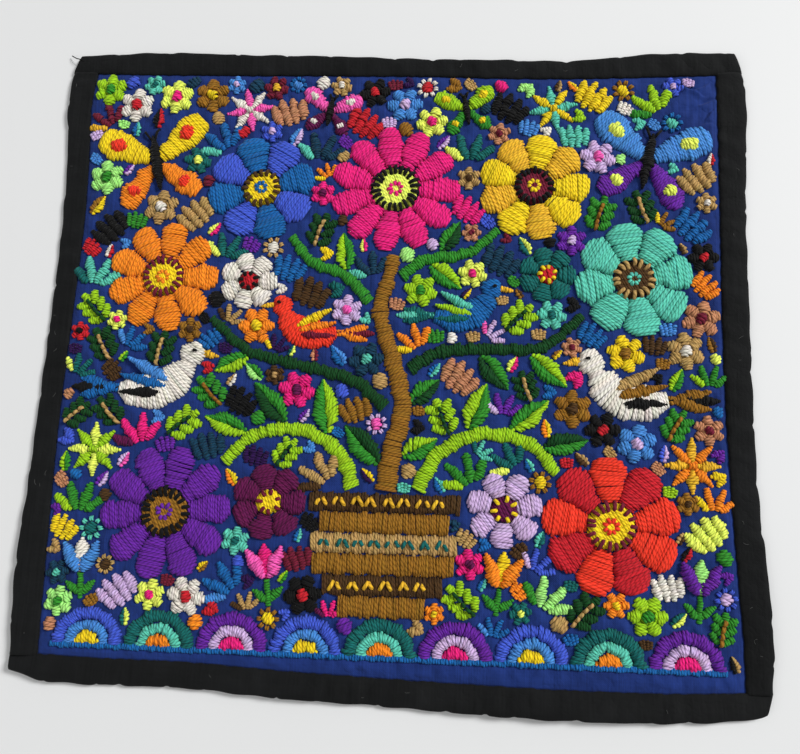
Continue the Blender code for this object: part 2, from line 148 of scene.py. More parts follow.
# The garden's own zero, found from the pot, whose foot and sides are known
pot = dict(
    foot=-142.4,
    # high, wide, shade of each stacked band, and of the chevrons on it
    bands=(
        (11.0, 46, "ochre", None), (10.8, 64, "darkBrown", "golden"), (11.0, 76, "ochre", None),
        (10.8, 78, "tan", "teal"), (11.0, 70, "ochre", None), (10.2, 82, "darkBrown", "golden"),
    ),
    chevronPitch=9.0,
    chevron=((3.2, 3.0), (0.4, 7.8)),  # its stitches' ends, from its middle and the band's foot
)
potLow, potHigh = boxOf("pot")
garden = np.array([(potLow[0] + potHigh[0]) / 2, potLow[1] - pot["foot"]])
groundTop = boxOf("ground_cloth")[1][2]
evenly = np.linspace(0, 1, 60)  # places along a blade, a finger, a petal or a wing


class Stitching:
    # Blocks of rows, worked in a motif's own coordinates and laid on the cloth.
    # A block is: where its rows start, where they end, their shade and their layer.

    def __init__(self, x, y, turn=0.0, size=1.0, mirror=False):
        self.turnAndSize = size * rotation(turn) @ np.diag([-1.0 if mirror else 1.0, 1.0])
        self.origin = garden + (x, y)
        self.size = size
        self.blocks = []

    def rows(self, starts, ends, shade, layer=0, at=(0, 0), turn=0.0):
        laid = []
        for points in (starts, ends):
            points = np.atleast_2d(np.asarray(points, float)) @ rotation(turn).T + at
            laid.append(points @ self.turnAndSize.T + self.origin)
        self.blocks.append((*laid, shade, layer))

    def across(self, path, left, right, shade, layer=0, at=(0, 0), turn=0.0):
        # Rows square to a path at even steps, from left of it to right of it.
        tangent, normal, run = alongPath(path)
        count = max(2, round(run[-1] * self.size / yarn["pitch"]))
        s = (np.arange(count) + 0.5) / count * run[-1]
        centre, side = between(s, run, path), between(s, run, normal)
        left, right = (np.interp(s, run, np.broadcast_to(w, run.shape))[:, None] for w in (left, right))
        self.rows(centre + side * left, centre - side * right, shade, layer, at, turn)

    def straight(self, s, half, shade, layer=0, at=(0, 0), turn=0.0):
        # Rows across a straight line that runs through the places s, with half the width at each.
        self.across(np.c_[s, 0 * s], half, half, shade, layer, at, turn)

    def disc(self, x, y, radius, shade, layer=0, turn=0.0):
        # Parallel rows whose half lengths follow the circle.
        s = np.linspace(-radius, radius, 60)
        half = np.sqrt(np.maximum(radius**2 - s**2, 0.03 * radius**2))
        self.straight(s, half, shade, layer, (x, y), turn)

    def blade(self, x, y, length, width, turn, shade, layer=0, belly=0.8):
        # Rows straight across; half the width is a sine over the places to the power belly.
        half = width / 2 * np.sin(pi * evenly**belly) ** 0.75
        self.straight(length * evenly, half, shade, layer, (x, y), turn)

    def finger(self, x, y, length, width, turn, shade, layer=0, blunt=3.2):
        # Rows straight across; half the width is the root of 1 - |2u - 1| to the power blunt, u being the
        # place from nought to one.
        half = width / 2 * np.sqrt(np.maximum(1 - np.abs(2 * evenly - 1) ** blunt, 0.10))
        self.straight(length * evenly, half, shade, layer, (x, y), turn)

    def leaf(self, x, y, length, width, turn, near, far, layer=0):
        # Two halves. Each row starts on the midrib and leans towards the tip as it reaches the edge.
        count = max(3, round(length * self.size / yarn["pitch"] / 1.1))
        u = (np.arange(count) + 0.5) / count
        reach = u + 0.2 * np.sin(pi * u)
        half = width / 2 * np.sin(pi * reach**0.8) ** 0.85
        for side, shade in ((1, near), (-1, far)):
            midrib = np.c_[length * u, np.full(count, 0.12 * side)]
            self.rows(midrib, np.c_[length * reach, side * half], shade, layer, (x, y), turn)

    def line(self, points, shade, layer=0, long=3.4):
        # Single stitches end to end along a smooth path.
        path = smoothPath(points, 80)
        run = alongPath(path)[2]
        count = max(1, round(run[-1] * self.size / long))
        joints = between(np.linspace(0, run[-1], count + 1), run, path)
        self.rows(joints[:-1], joints[1:], shade, layer)

    def fan(self, count, inner, outer, shade, layer=0, first=0.0):
        # Single stitches like spokes.
        angle = math.radians(first) + np.arange(count) * tau / count
        spoke = np.c_[np.cos(angle), np.sin(angle)]
        self.rows(spoke * inner, spoke * outer, shade, layer)


motifs = {}  # name: the blocks, the CAD nodes that they stand for, and the slot


def addMotif(name, blocks, nodes, slotShade):
    slot = "yarn_" + "".join("_" + c.lower() if c.isupper() else c for c in slotShade)
    motifs[name] = dict(blocks=blocks, nodes=nodes, slot=slot)


# Pot of stacked bands, each worked in upright rows, with a line of small chevrons on every other one
def makePot():
    work = Stitching(0, 0)
    y = pot["foot"]
    for high, wide, shade, chevrons in pot["bands"]:
        work.straight(np.linspace(-wide / 2, wide / 2, 60), high / 2 * 0.97, shade, 0, (0, y + high / 2))
        if chevrons:
            x = np.arange(-wide / 2 + 7, wide / 2 - 5, pot["chevronPitch"])
            for side in (-1, 1):
                foot, tip = (np.c_[x + side * aside, 0 * x + y + up] for aside, up in pot["chevron"])
                work.rows(foot, tip, chevrons, 1)
        y += high
    addMotif("pot_bands", work.blocks, ["pot"], "ochre")


# Scallops along the foot: half rings one inside the other over a narrow band
scallops = dict(
    count=9, pitch=39.4, radius=19.0, base=-162.5, foot=3.0,
    # outer and inner edge of each ring, as shares of the radius
    rings=((1.0, 0.67), (0.65, 0.37), (0.35, 0.0)),
    shades=(("cornflower", "sky", "yellow"), ("teal", "mint", "orange"), ("purple", "lilac", "hotPink")),
)


def makeScallops():
    blocks = []
    angle = np.linspace(pi, 0, 80)
    ring = np.c_[np.cos(angle), np.sin(angle)]
    for k in range(scallops["count"]):
        x = (k - (scallops["count"] - 1) / 2) * scallops["pitch"]
        work = Stitching(x, scallops["base"] + 0.8)
        for edges, shade in zip(scallops["rings"], scallops["shades"][k % 3]):
            outer, inner = (scallops["radius"] * edge for edge in edges)
            if inner:
                half = (outer - inner) / 2
                work.across(ring * (outer + inner) / 2, half, half, shade)
            else:
                s = np.linspace(-outer, outer, 50)
                work.across(np.c_[s, 0 * s], np.sqrt(np.maximum(outer**2 - s**2, 1)), 0, shade)
        blocks += work.blocks
    work = Stitching(0, scallops["base"])
    end = scallops["count"] * scallops["pitch"] / 2
    work.straight(np.linspace(-end, end, 200), scallops["foot"] / 2, "blue")
    addMotif("scallops", blocks + work.blocks, ["scallop_row"], "blue")


# Stems, each with the leaves that grow from it
stems = {
    # points, width at the foot and at the tip, shade
    "stem_trunk": (((0, -76), (3, -55), (8, -30), (2, -4), (-6, 22), (-2, 44), (0, 56.5)), 11, 7, "ochre"),
    "stem_low_left": (((-17.5, -75), (-26, -56), (-48, -44), (-74, -48), (-89, -63)), 8, 6, "lime"),
    "stem_low_right": (((17.5, -75), (28, -56), (50, -44), (76, -48), (92, -64)), 8, 6, "lime"),
    "stem_mid_left": (((-1.5, -30.5), (-20, -16), (-50, -8), (-80, 0), (-102, 18)), 7, 5, "darkGreen"),
    "stem_mid_right": (((11.2, -9), (28, 1), (56, 3), (84, 5), (106, 23)), 7, 5, "darkGreen"),
    "stem_top_left": (((-12, 29), (-27, 44), (-46, 52), (-59, 67)), 6.5, 5, "green"),
    "stem_top_right": (((5.2, 44), (18, 54), (42, 58), (59, 72)), 6.5, 5, "green"),
}
leaves = (
    # stem, share of its length, side (1 left, -1 right), length, width, shade of each half
    ("stem_trunk", 0.10, 1, 28, 14, "green", "darkGreen"),
    ("stem_trunk", 0.15, -1, 21, 12, "lime", "green"),
    ("stem_trunk", 0.36, -1, 20, 11, "green", "darkGreen"),
    ("stem_low_left", 0.34, -1, 30, 14, "green", "lime"),
    ("stem_low_left", 0.58, -1, 28, 13, "darkGreen", "green"),
    ("stem_low_left", 0.80, -1, 25, 12, "lime", "green"),
    ("stem_low_right", 0.44, 1, 27, 13, "lime", "green"),
    ("stem_low_right", 0.66, 1, 26, 12, "green", "lime"),
    ("stem_low_right", 0.85, 1, 24, 12, "darkGreen", "green"),
    ("stem_mid_left", 0.74, 1, 20, 11, "lime", "green"),
    ("stem_mid_right", 0.40, -1, 24, 12, "green", "darkGreen"),
    ("stem_mid_right", 0.66, -1, 26, 12, "lime", "green"),
    ("stem_top_left", 0.36, -1, 22, 11, "lime", "green"),
    ("stem_top_right", 0.30, -1, 22, 11, "lime", "green"),
    ("stem_top_right", 0.42, 1, 20, 10, "green", "darkGreen"),
)
leafFit = dict(angle=52.0, seat=0.7, stations=11)


def leafPlace(stem, share, side):
    # Beside the stem at that share of its length, square to it, and turned from its run by the leaf angle.
    points, wide, narrow, _ = stems[stem]
    path = smoothPath(points, leafFit["stations"])
    tangent, normal, run = alongPath(path)
    run = run / run[-1]
    half = np.interp(share, run, np.linspace(wide, narrow, len(path)) / 2)
    ahead = between(share, run, tangent)
    start = between(share, run, path) + side * between(share, run, normal) * (half + leafFit["seat"])
    return start, math.degrees(math.atan2(ahead[1], ahead[0])) + side * leafFit["angle"]


def makeStems():
    for name, (points, wide, narrow, shade) in stems.items():
        work = Stitching(0, 0)
        path = smoothPath(points)
        half = np.linspace(wide, narrow, len(path)) / 2
        work.across(path, half, half, shade)
        nodes = [name]
        for number, (stem, share, side, length, width, near, far) in enumerate(leaves, 1):
            if stem == name:
                (x, y), turn = leafPlace(stem, share, side)
                work.leaf(x, y, length, width, turn, near, far)
                nodes.append(f"leaf_{number:02d}")
        addMotif(name + ("_leaves" if len(nodes) > 1 else "_rows"), work.blocks, nodes, shade)


# Flowers: petals with rows square to their length round a heart of parallel rows
flowers = {
    # x, y, radius, petals, turn, petal, every other petal, heart, ring of single stitches, form
    "flower_purple": (-120, -91, 36, 10, 5, "purple", "purple", "ochre", "black", "finger"),
    "flower_red": (120, -91, 36, 9, 12, "redOrange", "red", "yellow", "maroon", "full"),
    "flower_orange": (-132, 42, 32, 9, 0, "orange", "orange", "yellow", "maroon", "finger"),
    "flower_mint": (134, 44, 32, 8, 10, "mint", "mint", "darkBrown", "tan", "full"),
    "flower_pink": (0, 96, 37, 11, 0, "hotPink", "hotPink", "neon", "black", "finger"),
    "flower_cornflower": (-78, 96, 31, 8, 15, "blue", "cornflower", "yellow", "darkBrown", "full"),
    "flower_golden": (79, 98, 31, 9, 0, "yellow", "golden", "maroon", "black", "full"),
    "flower_plum": (-63, -84, 20, 7, 0, "plum", "plum", "yellow", "maroon", "full"),
    "flower_lilac": (64, -84, 20, 7, 10, "lilac", "lilac", "plum", "yellow", "finger"),
    "flower_cream": (-82, 40, 16, 7, 0, "cream", "cream", "red", "black", "full"),
    "flower_teal": (86.5, 46, 15.5, 7, 0, "teal", "teal", "red", "yellow", "full"),
}
flowerForms = dict(
    full=dict(heart=0.35, petalWide=0.84, rootWide=0.62, tipFrom=0.62, tipRound=0.88),
    finger=dict(heart=0.36, petalWide=0.68, rootWide=0.80, tipFrom=0.70, tipRound=0.90),
)
flowerSlots = {"flower_cornflower": "cornflower"}  # where it isn't the first shade of petal


def makeFlowers():
    for name, (x, y, radius, petals, turn, petal, other, heart, ring, kind) in flowers.items():
        form = flowerForms[kind]
        work = Stitching(x, y, turn)
        inner = form["heart"] * radius
        r = inner + (radius - inner) * evenly
        # The petal swells as a quarter sine, is never wider than its slice, and rounds off at its tip.
        wide = form["petalWide"] * radius * math.sin(pi / petals)
        swell = form["rootWide"] + (1 - form["rootWide"]) * np.sin(pi / 2 * np.minimum(evenly / 0.72, 1))
        tip = np.clip((evenly - form["tipFrom"]) / (1 - form["tipFrom"]), 0, 1)
        half = np.minimum(wide * swell, r * math.tan(pi / petals) * 0.98)
        half = half * np.sqrt(1 - form["tipRound"] * tip**2)
        for k in range(petals):
            work.straight(r, half, other if k % 2 else petal, turn=360 * k / petals)
        work.disc(0, 0, inner * 0.97, heart, 0, 20)
        if radius > 25:
            work.fan(petals * 2, inner * 0.62, inner * 1.08, ring, 1, 90 / petals)
            work.fan(8, inner * 0.10, inner * 0.40, petal, 1, 12)
        else:
            work.fan(petals, inner * 0.5, inner * 1.02, ring, 1, 20)
        addMotif(name + "_rows", work.blocks, [name], flowerSlots.get(name, petal))


# Birds: body, head, beak, three tail blades, three wing feathers over the body and an eye
birds = {
    # x, y, size, faces left, body, wing shades, tail shades
    "bird_white_left": (-132, -20, 1.0, False, "cream", ("sky", "blue", "black"), ("blue", "black")),
    "bird_white_right": (131, -20, 1.0, True, "cream", ("tan", "ochre", "black"), ("ochre", "black")),
    "bird_red": (-46, 13, 0.78, True, "redOrange", ("yellow", "orange", "maroon"), ("orange", "maroon")),
    "bird_blue": (40, 24, 0.78, False, "blue", ("mint", "lime", "teal"), ("teal", "mint")),
}
birdForm = dict(
    spine=((-20, -3), (-8, -5), (6, -2), (15, 6), (19, 13)),
    head=(20.5, 17, 7.0),  # x, y, radius
    beak=(26.5, 17.5, 9.5, 4.6, -10),  # x, y, length, width, angle
    eye=((21.4, 18.6), (23.6, 18.6)),
    # angle, length of each tail blade
    tail=((196, 25), (180, 29), (164, 25)),
    # x, y, length, width, angle of each wing feather
    wing=((8, 1.5, 27, 6.6, 152), (6.5, -2.0, 27, 6.6, 166), (4.5, -5.5, 24, 6.6, 180)),
)


def makeBirds():
    for name, (x, y, size, facesLeft, body, wing, tail) in birds.items():
        work = Stitching(x, y, 0, size, facesLeft)
        path = smoothPath(birdForm["spine"])
        u = np.linspace(0, 1, len(path))
        # Half the body's width: a sine over its length, a quarter slimmer towards the head.
        half = 3.2 + 8.3 * np.sin(pi * np.clip(u * 1.02, 0, 1)) ** 0.8 * (1 - 0.25 * u)
        work.across(path, half, half, body)
        work.disc(*birdForm["head"], body, 0, 60)
        work.blade(*birdForm["beak"], "golden", 0, 0.5)
        for k, (angle, long) in enumerate(birdForm["tail"]):
            work.blade(-18.5, -1 - k * 2.0, long, 7.0, angle, tail[k % len(tail)], 0, 1.3)
        for feather, shade in zip(birdForm["wing"], wing):
            work.blade(*feather, shade, 1, 0.7)
        work.rows(*birdForm["eye"], "black", 2)
        addMotif(name + "_rows", work.blocks, [name], body)


# Butterflies: four wings with a raised spot each, a long body and two feelers
butterflies = {
    # x, y, size, turn, upper wings, lower wings, spots
    "butterfly_left": (-142, 112, 1.25, 12, "yellow", "orange", "redOrange"),
    "butterfly_right": (143, 114, 1.25, -12, "sky", "purple", "neon"),
    "butterfly_top_left": (-40, 144, 0.66, -10, "pink", "plum", "cream"),
    "butterfly_top_right": (40, 145, 0.66, 10, "lime", "green", "yellow"),
}
wings = (((2.2, 2), (25, 17), 19), ((2.2, -2), (18, -19), 14))  # root, tip, width
wingSpot = dict(share=0.62, size=0.2)  # how far along the wing, and its radius as a share of the width


def makeButterflies():
    for name, (x, y, size, turn, upper, lower, spot) in butterflies.items():
        blocks = []
        for mirror in (False, True):
            work = Stitching(x, y, turn, size, mirror)
            for (root, tip, wide), shade in zip(wings, (upper, lower)):
                root, reach = np.array(root), np.subtract(tip, root)
                # Half the wing: it opens with the length to the power 0.8 and rounds off past its middle.
                half = wide / 2 * (0.28 + 0.72 * evenly**0.8)
                half = half * np.sqrt(1 - 0.93 * np.clip((evenly - 0.55) / 0.45, 0, 1) ** 2)
                angle = math.degrees(math.atan2(reach[1], reach[0]))
                work.straight(np.hypot(*reach) * evenly, half, shade, 0, root, angle)
                work.disc(*(root + reach * wingSpot["share"]), wide * wingSpot["size"], spot, 1, 30)
            work.rows((0.8, 11.0), (3.6, 16.2), "black")
            blocks += work.blocks
        work = Stitching(x, y, turn, size)
        work.blade(0, -14, 27, 5.0, 90, "black", 1, 1.0)
        addMotif(name + "_rows", blocks + work.blocks, [name], upper)


# Stars of narrow arms
stars = {
    # x, y, radius, arms, turn, arm, every other arm
    "star_left": (-163, -58, 15, 8, 0, "neon", "lime"),
    "star_right": (163, -58, 15, 8, 0, "golden", "orange"),
    "star_top_left": (-88, 145, 14, 8, 11, "pink", "cream"),
    "star_top_right": (90, 146, 14, 8, 11, "mint", "yellow"),
}


def makeStars():
    u = np.linspace(0, 1, 50)
    for name, (x, y, radius, arms, turn, one, two) in stars.items():
        work = Stitching(x, y, turn)
        # Half an arm widens to its shoulder at 0.42 of the radius and narrows from there to the tip.
        half = radius * 0.42 * math.tan(pi / arms) * np.minimum(u / 0.42, (1 - u) / 0.58) + 0.4
        for k in range(arms):
            work.straight(radius * (0.07 + 0.93 * u), half, two if k % 2 else one, turn=360 * k / arms)
        work.disc(0, 0, radius * 0.13, two, 1)
        addMotif(name + "_rows", work.blocks, [name], one)


# Tulips: three petals on a short stalk between two leaves
tulips = {
    # x, y, size, turn, outer petals, middle petal
    "tulip_left": (-62, -124, 0.82, 8, "pink", "hotPink"),
    "tulip_right": (62, -124, 0.82, -8, "orange", "yellow"),
    "tulip_far_left": (-164, -124, 0.80, 4, "sky", "cream"),
    "tulip_far_right": (165, -124, 0.80, -4, "purple", "paleLime"),
}


def makeTulips():
    for name, (x, y, size, turn, outer, middle) in tulips.items():
        work = Stitching(x, y, turn, size)
        work.blade(0, 0, 22, 11, 90, middle)
        work.blade(-1.5, 0, 22, 9, 118, outer, 1)
        work.blade(1.5, 0, 22, 9, 62, outer, 1)
        work.across(np.c_[np.zeros(30), np.linspace(-18, -1, 30)], 1.7, 1.7, "green")
        for angle in (40, 140):
            work.blade(0, -15, 13, 5.5, angle, "green")
        addMotif(name + "_rows", work.blocks, [name], outer)


# Small motifs that fill the free spots, each kind for spots of some size
def sprout(work, radius, one, two):
    # Four thick fingers that spread from one foot.
    for side, angle, long in ((1.5, 52, 1.25), (0.5, 18, 1.6), (-0.5, -18, 1.6), (-1.5, -52, 1.25)):
        shade = two if side == 1.5 else one
        work.finger(-radius * 0.66, side * radius * 0.26, long * radius, radius * 0.5, angle, shade)


def hand(work, radius, one, two):
    # Four upright fingers pressed side by side, all of one shade.
    for side, long in ((-1.5, 1.25), (-0.5, 1.65), (0.5, 1.75), (1.5, 1.4)):
        foot = -radius * (0.9 - 0.08 * side**2)
        work.finger(foot, side * radius * 0.44, long * radius, radius * 0.52, side * 7, one)


def twig(work, radius, one, two):
    # Pairs of thick leaves along one line, in the greens.
    leafShade, lineShade = (("lime", "darkGreen"), ("green", "ochre"), ("darkGreen", "tan"))[len(one) % 3]
    for k in range(3):
        for side in (1, -1):
            x = -radius * 0.85 + k * radius * 0.55
            work.finger(x, side * radius * 0.1, radius * 0.8, radius * 0.46, side * 50, leafShade)
    work.finger(radius * 0.45, 0, radius * 0.6, radius * 0.44, 0, leafShade)
    work.line([(-radius, 0), (-radius * 0.2, radius * 0.06), (radius * 0.6, 0)], lineShade, 1)


def sunburst(work, radius, one, two):
    # Pairs of stitches side by side round a disc.
    work.disc(0, 0, radius * 0.5, two, 0, 15)
    feet = ((radius * 0.6, -0.62), (radius * 0.6, 0.62))
    tips = ((radius, -0.496), (radius * 0.96, 0.496))
    for k in range(8):
        work.rows(feet, tips, one, turn=45 * k)


def heart(work, radius, one, two):
    # Two blades from one foot, each leaning 24 degrees outwards.
    for side in (1, -1):
        work.blade(0, -radius * 0.85, radius * 1.85, radius * 0.98, 90 - side * 24, one, 0, 1.25)


def loneLeaf(work, radius, one, two):
    # One leaf, half as wide as it is long, with a shade on each half.
    work.leaf(-radius, 0, radius * 2, radius * 1.1, 0, one, two)


def posy(work, radius, one, two):
    # Six short fingers round a raised disc.
    for k in range(6):
        angle = 60 * k + 18
        work.finger(*(rotation(angle) @ (radius * 0.26, 0)), radius * 0.76, radius * 0.68, angle, one, 0, 2.4)
    work.disc(0, 0, radius * 0.3, two, 1)


def button(work, radius, one, two):
    # One disc.
    work.disc(0, 0, radius * 0.9, one)


fillers = dict(
    margin=0.7,  # free ground kept round each
    least=3.1,
    most=10.0,
    edgeFree=1.0,  # from the ground's edge
    keepFree=((173, 147, 12),),  # x, y, radius of spots that stay bare
    foot=-166.0,  # nothing goes below the scallops' band
    # for spots from this size on: the motifs that may go there
    kinds=(
        (6.6, (sprout, hand, posy, twig, posy)), (5.0, (hand, posy, loneLeaf, sunburst, sprout)),
        (0, (button, loneLeaf, heart, hand)),
    ),
    slots=dict(
        sprout="mint", hand="sky", sunburst="neon", posy="pink", twig="lime", heart="orange",
        loneLeaf="lime", button="blue",
    ),
    pairs=(
        ("mint", "teal"), ("tan", "cream"), ("blue", "sky"), ("black", "tan"), ("hotPink", "plum"),
        ("ochre", "darkBrown"), ("lilac", "pink"), ("orange", "yellow"), ("darkPurple", "yellow"),
        ("green", "lime"), ("ochre", "yellow"), ("sky", "lilac"), ("black", "red"), ("cream", "red"),
        ("petrol", "mint"), ("purple", "lilac"), ("neon", "hotPink"), ("maroon", "golden"),
        ("tan", "darkBrown"), ("paleLime", "green"), ("yellow", "ochre"), ("teal", "neon"),
        ("peach", "maroon"), ("darkBrown", "tan"), ("blue", "mint"), ("lime", "green"),
        ("cornflower", "lilac"), ("red", "black"),
    ),
)

makePot()
makeScallops()
makeStems()
makeFlowers()
makeBirds()
makeButterflies()
makeStars()
makeTulips()
print("Motifs worked:", len(motifs))

# The cloth's sides as they lie: place on the side, folded rim, seam, and the rim's lift off the table
clothSides = dict(
    top=(
        (-199, 182.4, 171.5, 0.6), (-186, 183.4, 171.8, 0.2), (-140, 184.8, 171.0, 0.5),
        (-90, 183.4, 170.4, 0.0), (-40, 182.2, 170.1, 0.3), (10, 180.4, 169.6, 0.0),
        (60, 179.2, 168.2, 0.6), (100, 178.6, 167.9, 0.2), (150, 182.4, 168.8, 0.8),
        (186, 182.9, 169.8, 0.3), (199, 181.8, 170.0, 0.5),
    ),
    bottom=(
        (-199, -173.8, -166.0, 2.0), (-191, -175.8, -166.2, 1.8), (-180, -179.1, -166.4, 1.4),
        (-165, -179.8, -166.7, 0.9), (-145, -180.0, -167.0, 0.6), (-100, -179.6, -167.2, 1.0),
        (-50, -182.2, -169.2, 2.2), (0, -183.6, -170.6, 1.0), (50, -185.2, -171.6, 2.6),
        (100, -186.0, -172.2, 3.0), (150, -185.0, -171.6, 1.6), (186, -181.8, -169.6, 1.0),
        (199, -178.2, -168.8, 1.4),
    ),
    left=(
        (-172, -198.4, -184.6, 1.8), (-125, -200.4, -185.4, 2.2), (-80, -199.0, -186.0, 0.8),
        (-35, -198.0, -186.0, 0.2), (35, -196.2, -184.2, 0.0), (75, -195.6, -183.2, 0.4),
        (115, -196.8, -184.2, 0.2), (150, -199.6, -186.2, 0.9), (172, -198.0, -183.8, 0.5),
    ),
    right=(
        (-172, 199.3, 187.0, 1.2), (-145, 200.6, 186.8, 2.0), (-110, 199.2, 185.0, 1.2),
        (-70, 196.6, 183.2, 0.3), (-20, 196.0, 182.0, 0.0), (30, 196.0, 182.0, 0.4),
        (80, 196.4, 182.8, 0.0), (125, 198.0, 183.4, 0.6), (157, 199.2, 183.4, 0.4),
        (172, 196.9, 183.4, 0.4),
    ),
)
rimColumn, seamColumn, liftColumn = 1, 2, 3
gardenRise = 2.5  # the garden's zero lies this far above that of the sides
sideTables = {name: smoothPath(rows, 8 * len(rows)) for name, rows in clothSides.items()}
clothShift = garden - (0, gardenRise)


def sideValue(name, along, column=seamColumn):
    table = sideTables[name]
    return np.interp(along, table[:, 0], table[:, column])


# The relief is worked out on a fine square grid over the whole cloth
grid = dict(step=1.0, halfWide=205.0, halfHigh=192.0)
gridX = np.arange(-grid["halfWide"], grid["halfWide"] + 0.5, grid["step"])
gridY = np.arange(-grid["halfHigh"], grid["halfHigh"] + 0.5, grid["step"])
wholeX, wholeY = np.meshgrid(gridX, gridY)


def gridSample(values, x, y):
    # Between four grid points: the weighted mean of their values.
    fx = np.clip((x - gridX[0]) / grid["step"], 0, len(gridX) - 1.001)
    fy = np.clip((y - gridY[0]) / grid["step"], 0, len(gridY) - 1.001)
    i, j = fx.astype(int), fy.astype(int)
    a, b = fx - i, fy - j
    low = values[j, i] * (1 - a) + values[j, i + 1] * a
    high = values[j + 1, i] * (1 - a) + values[j + 1, i + 1] * a
    return low * (1 - b) + high * b


def stitchedArea():
    # One where a row passes, nought elsewhere.
    area = np.zeros(wholeX.shape)
    share = np.linspace(0, 1, 40)[None, :, None]
    for motif in motifs.values():
        for starts, ends, _, _ in motif["blocks"]:
            points = starts[:, None] * (1 - share) + ends[:, None] * share
            column = np.round((points[..., 0] - gridX[0]) / grid["step"]).astype(int)
            row = np.round((points[..., 1] - gridY[0]) / grid["step"]).astype(int)
            area[row, column] = 1
    return area


def distanceTo(area, reach=24):
    # Grown outwards step by step: a cell's distance is its neighbour's plus the way to it, if that is less.
    unknown = 1e3
    far = np.where(area > 0, 0.0, unknown)
    for _ in range(reach):
        padded = np.pad(far, 1, constant_values=unknown)
        high, wide = far.shape
        for dy in (-1, 0, 1):
            for dx in (-1, 0, 1):
                near = padded[1 + dy:1 + dy + high, 1 + dx:1 + dx + wide]
                far = np.minimum(far, near + grid["step"] * math.hypot(dx, dy))
    return far


def softened(values, radius):
    # Each pass takes the mean of a point and its four neighbours, which spreads it as a bell does.
    for _ in range(max(1, round(2.5 * (radius / grid["step"]) ** 2 / 2))):
        p = np.pad(values, 1, mode="edge")
        values = (p[1:-1, 1:-1] + p[:-2, 1:-1] + p[2:, 1:-1] + p[1:-1, :-2] + p[1:-1, 2:]) / 5
    return values


def insideGround(x, y):
    # How far inside the four seams a point lies.
    x, y = x - clothShift[0], y - clothShift[1]
    return np.minimum.reduce([
        sideValue("top", x) - y, y - sideValue("bottom", x),
        x - sideValue("left", y), sideValue("right", y) - x,
    ])


def fillGaps():
    # The widest free spot gets the next small motif, until only narrow ones are left.
    free = np.minimum(distanceTo(stitchedArea()), insideGround(wholeX, wholeY) - fillers["edgeFree"])
    free = np.minimum(free, wholeY - garden[1] - fillers["foot"])
    for x, y, radius in fillers["keepFree"]:
        free = np.minimum(free, np.hypot(wholeX - garden[0] - x, wholeY - garden[1] - y) - radius)
    pick = np.random.default_rng(5)
    made, laid = {}, []
    while True:
        j, i = np.unravel_index(np.argmax(free), free.shape)
        room = free[j, i] - fillers["margin"]
        if room < fillers["least"]:
            break
        radius = min(room, fillers["most"])
        kinds = next(kinds for size, kinds in fillers["kinds"] if radius >= size)
        kind = kinds[pick.integers(len(kinds))]
        x, y = gridX[i], gridY[j]
        # None of the six nearest has the same pair of shades.
        close = sorted(laid, key=lambda other: math.hypot(other[0] - x, other[1] - y))[:6]
        fresh = [pair for pair in fillers["pairs"] if pair not in [other[2] for other in close]]
        pair = fresh[pick.integers(len(fresh))]
        laid.append((x, y, pair))
        work = Stitching(*(np.array([x, y]) - garden), turn=pick.uniform(40, 140))
        kind(work, radius, *pair)
        made.setdefault(kind.__name__, []).extend(work.blocks)
        free = np.minimum(free, np.hypot(wholeX - x, wholeY - y) - radius * 0.94)
    for kind, blocks in made.items():
        addMotif("small_" + kind, blocks, [], fillers["slots"][kind])
    print("Small motifs:", len(laid))


fillGaps()

# The ground's relief: swells between the stitches, puckers beside them and creases
relief = dict(
    pillow=0.85,  # the ground swells this much where it is free of stitches
    pillowFrom=1.6,  # softening of the stitched area
    wrinkle=0.34,
    wrinkleLength=8.0,
    underStitch=0.25,  # the share of the wrinkles that is left under stitches
    sag=0.3,
    sagLength=46.0,
    limits=(-0.6, 2.0),
    edge=5.0,  # from the seam, over which the relief comes in
    seamDip=0.5,  # pressed down this much beside the strips, over this run
    seamRun=1.5,
)
pucker = dict(
    count=260,  # short creases that start at the stitches, where they draw the cloth
    long=(5.0, 15.0),
    high=(0.22, 0.55),
    half=(0.75, 1.5),
    start=1.5,  # this far under the stitches
    turn=0.5,  # stray from square, in radians
    bend=0.012,
)
creases = (
    # points that the crease follows, height, width. The first five lie at the upper right corner.
    (((172, 149), (175, 150), (179, 152), (182, 153), (184, 155)), 1.3, 2.6),
    (((176, 140), (177, 142), (179, 145), (181, 147), (183, 150)), 0.9, 2.2),
    (((167, 161), (170, 159), (175, 155), (178, 156)), 0.8, 2.2),
    (((172, 136), (176, 138), (181, 138)), 0.6, 2.2),
    (((160, 164), (168, 160), (175, 161), (181, 166)), 0.8, 1.8),
    (((-181, 158), (-176, 148), (-180, 138)), 0.8, 2.4),
    (((-176, 150), (-168, 144), (-166, 134)), 0.6, 2.2),
    (((110, 132), (118, 152), (114, 168)), 0.5, 2.6),
    (((171, -8), (176, -30), (180, -46)), 0.6, 2.8),
    (((60, -164), (92, -140), (100, -122)), -0.4, 3.0),
    (((-184, 60), (-172, 52), (-166, 30)), 0.5, 2.6),
    (((-178, -88), (-170, -74), (-184, -60)), 0.5, 2.6),
    (((-20, 168), (-14, 150), (-22, 136)), 0.45, 2.4),
    (((176, 96), (168, 80), (172, 64)), 0.5, 2.6),
    (((-96, 20), (-108, 4), (-92, -14)), 0.4, 2.4),
    (((150, -70), (140, -58), (146, -44)), 0.4, 2.4),
    (((34, -100), (38, -116), (30, -134)), 0.5, 2.6),
)
# As shares of a crease's height and width: its left side, and the groove along there
creaseForm = dict(left=0.33, deep=0.55, at=0.62, half=0.26)


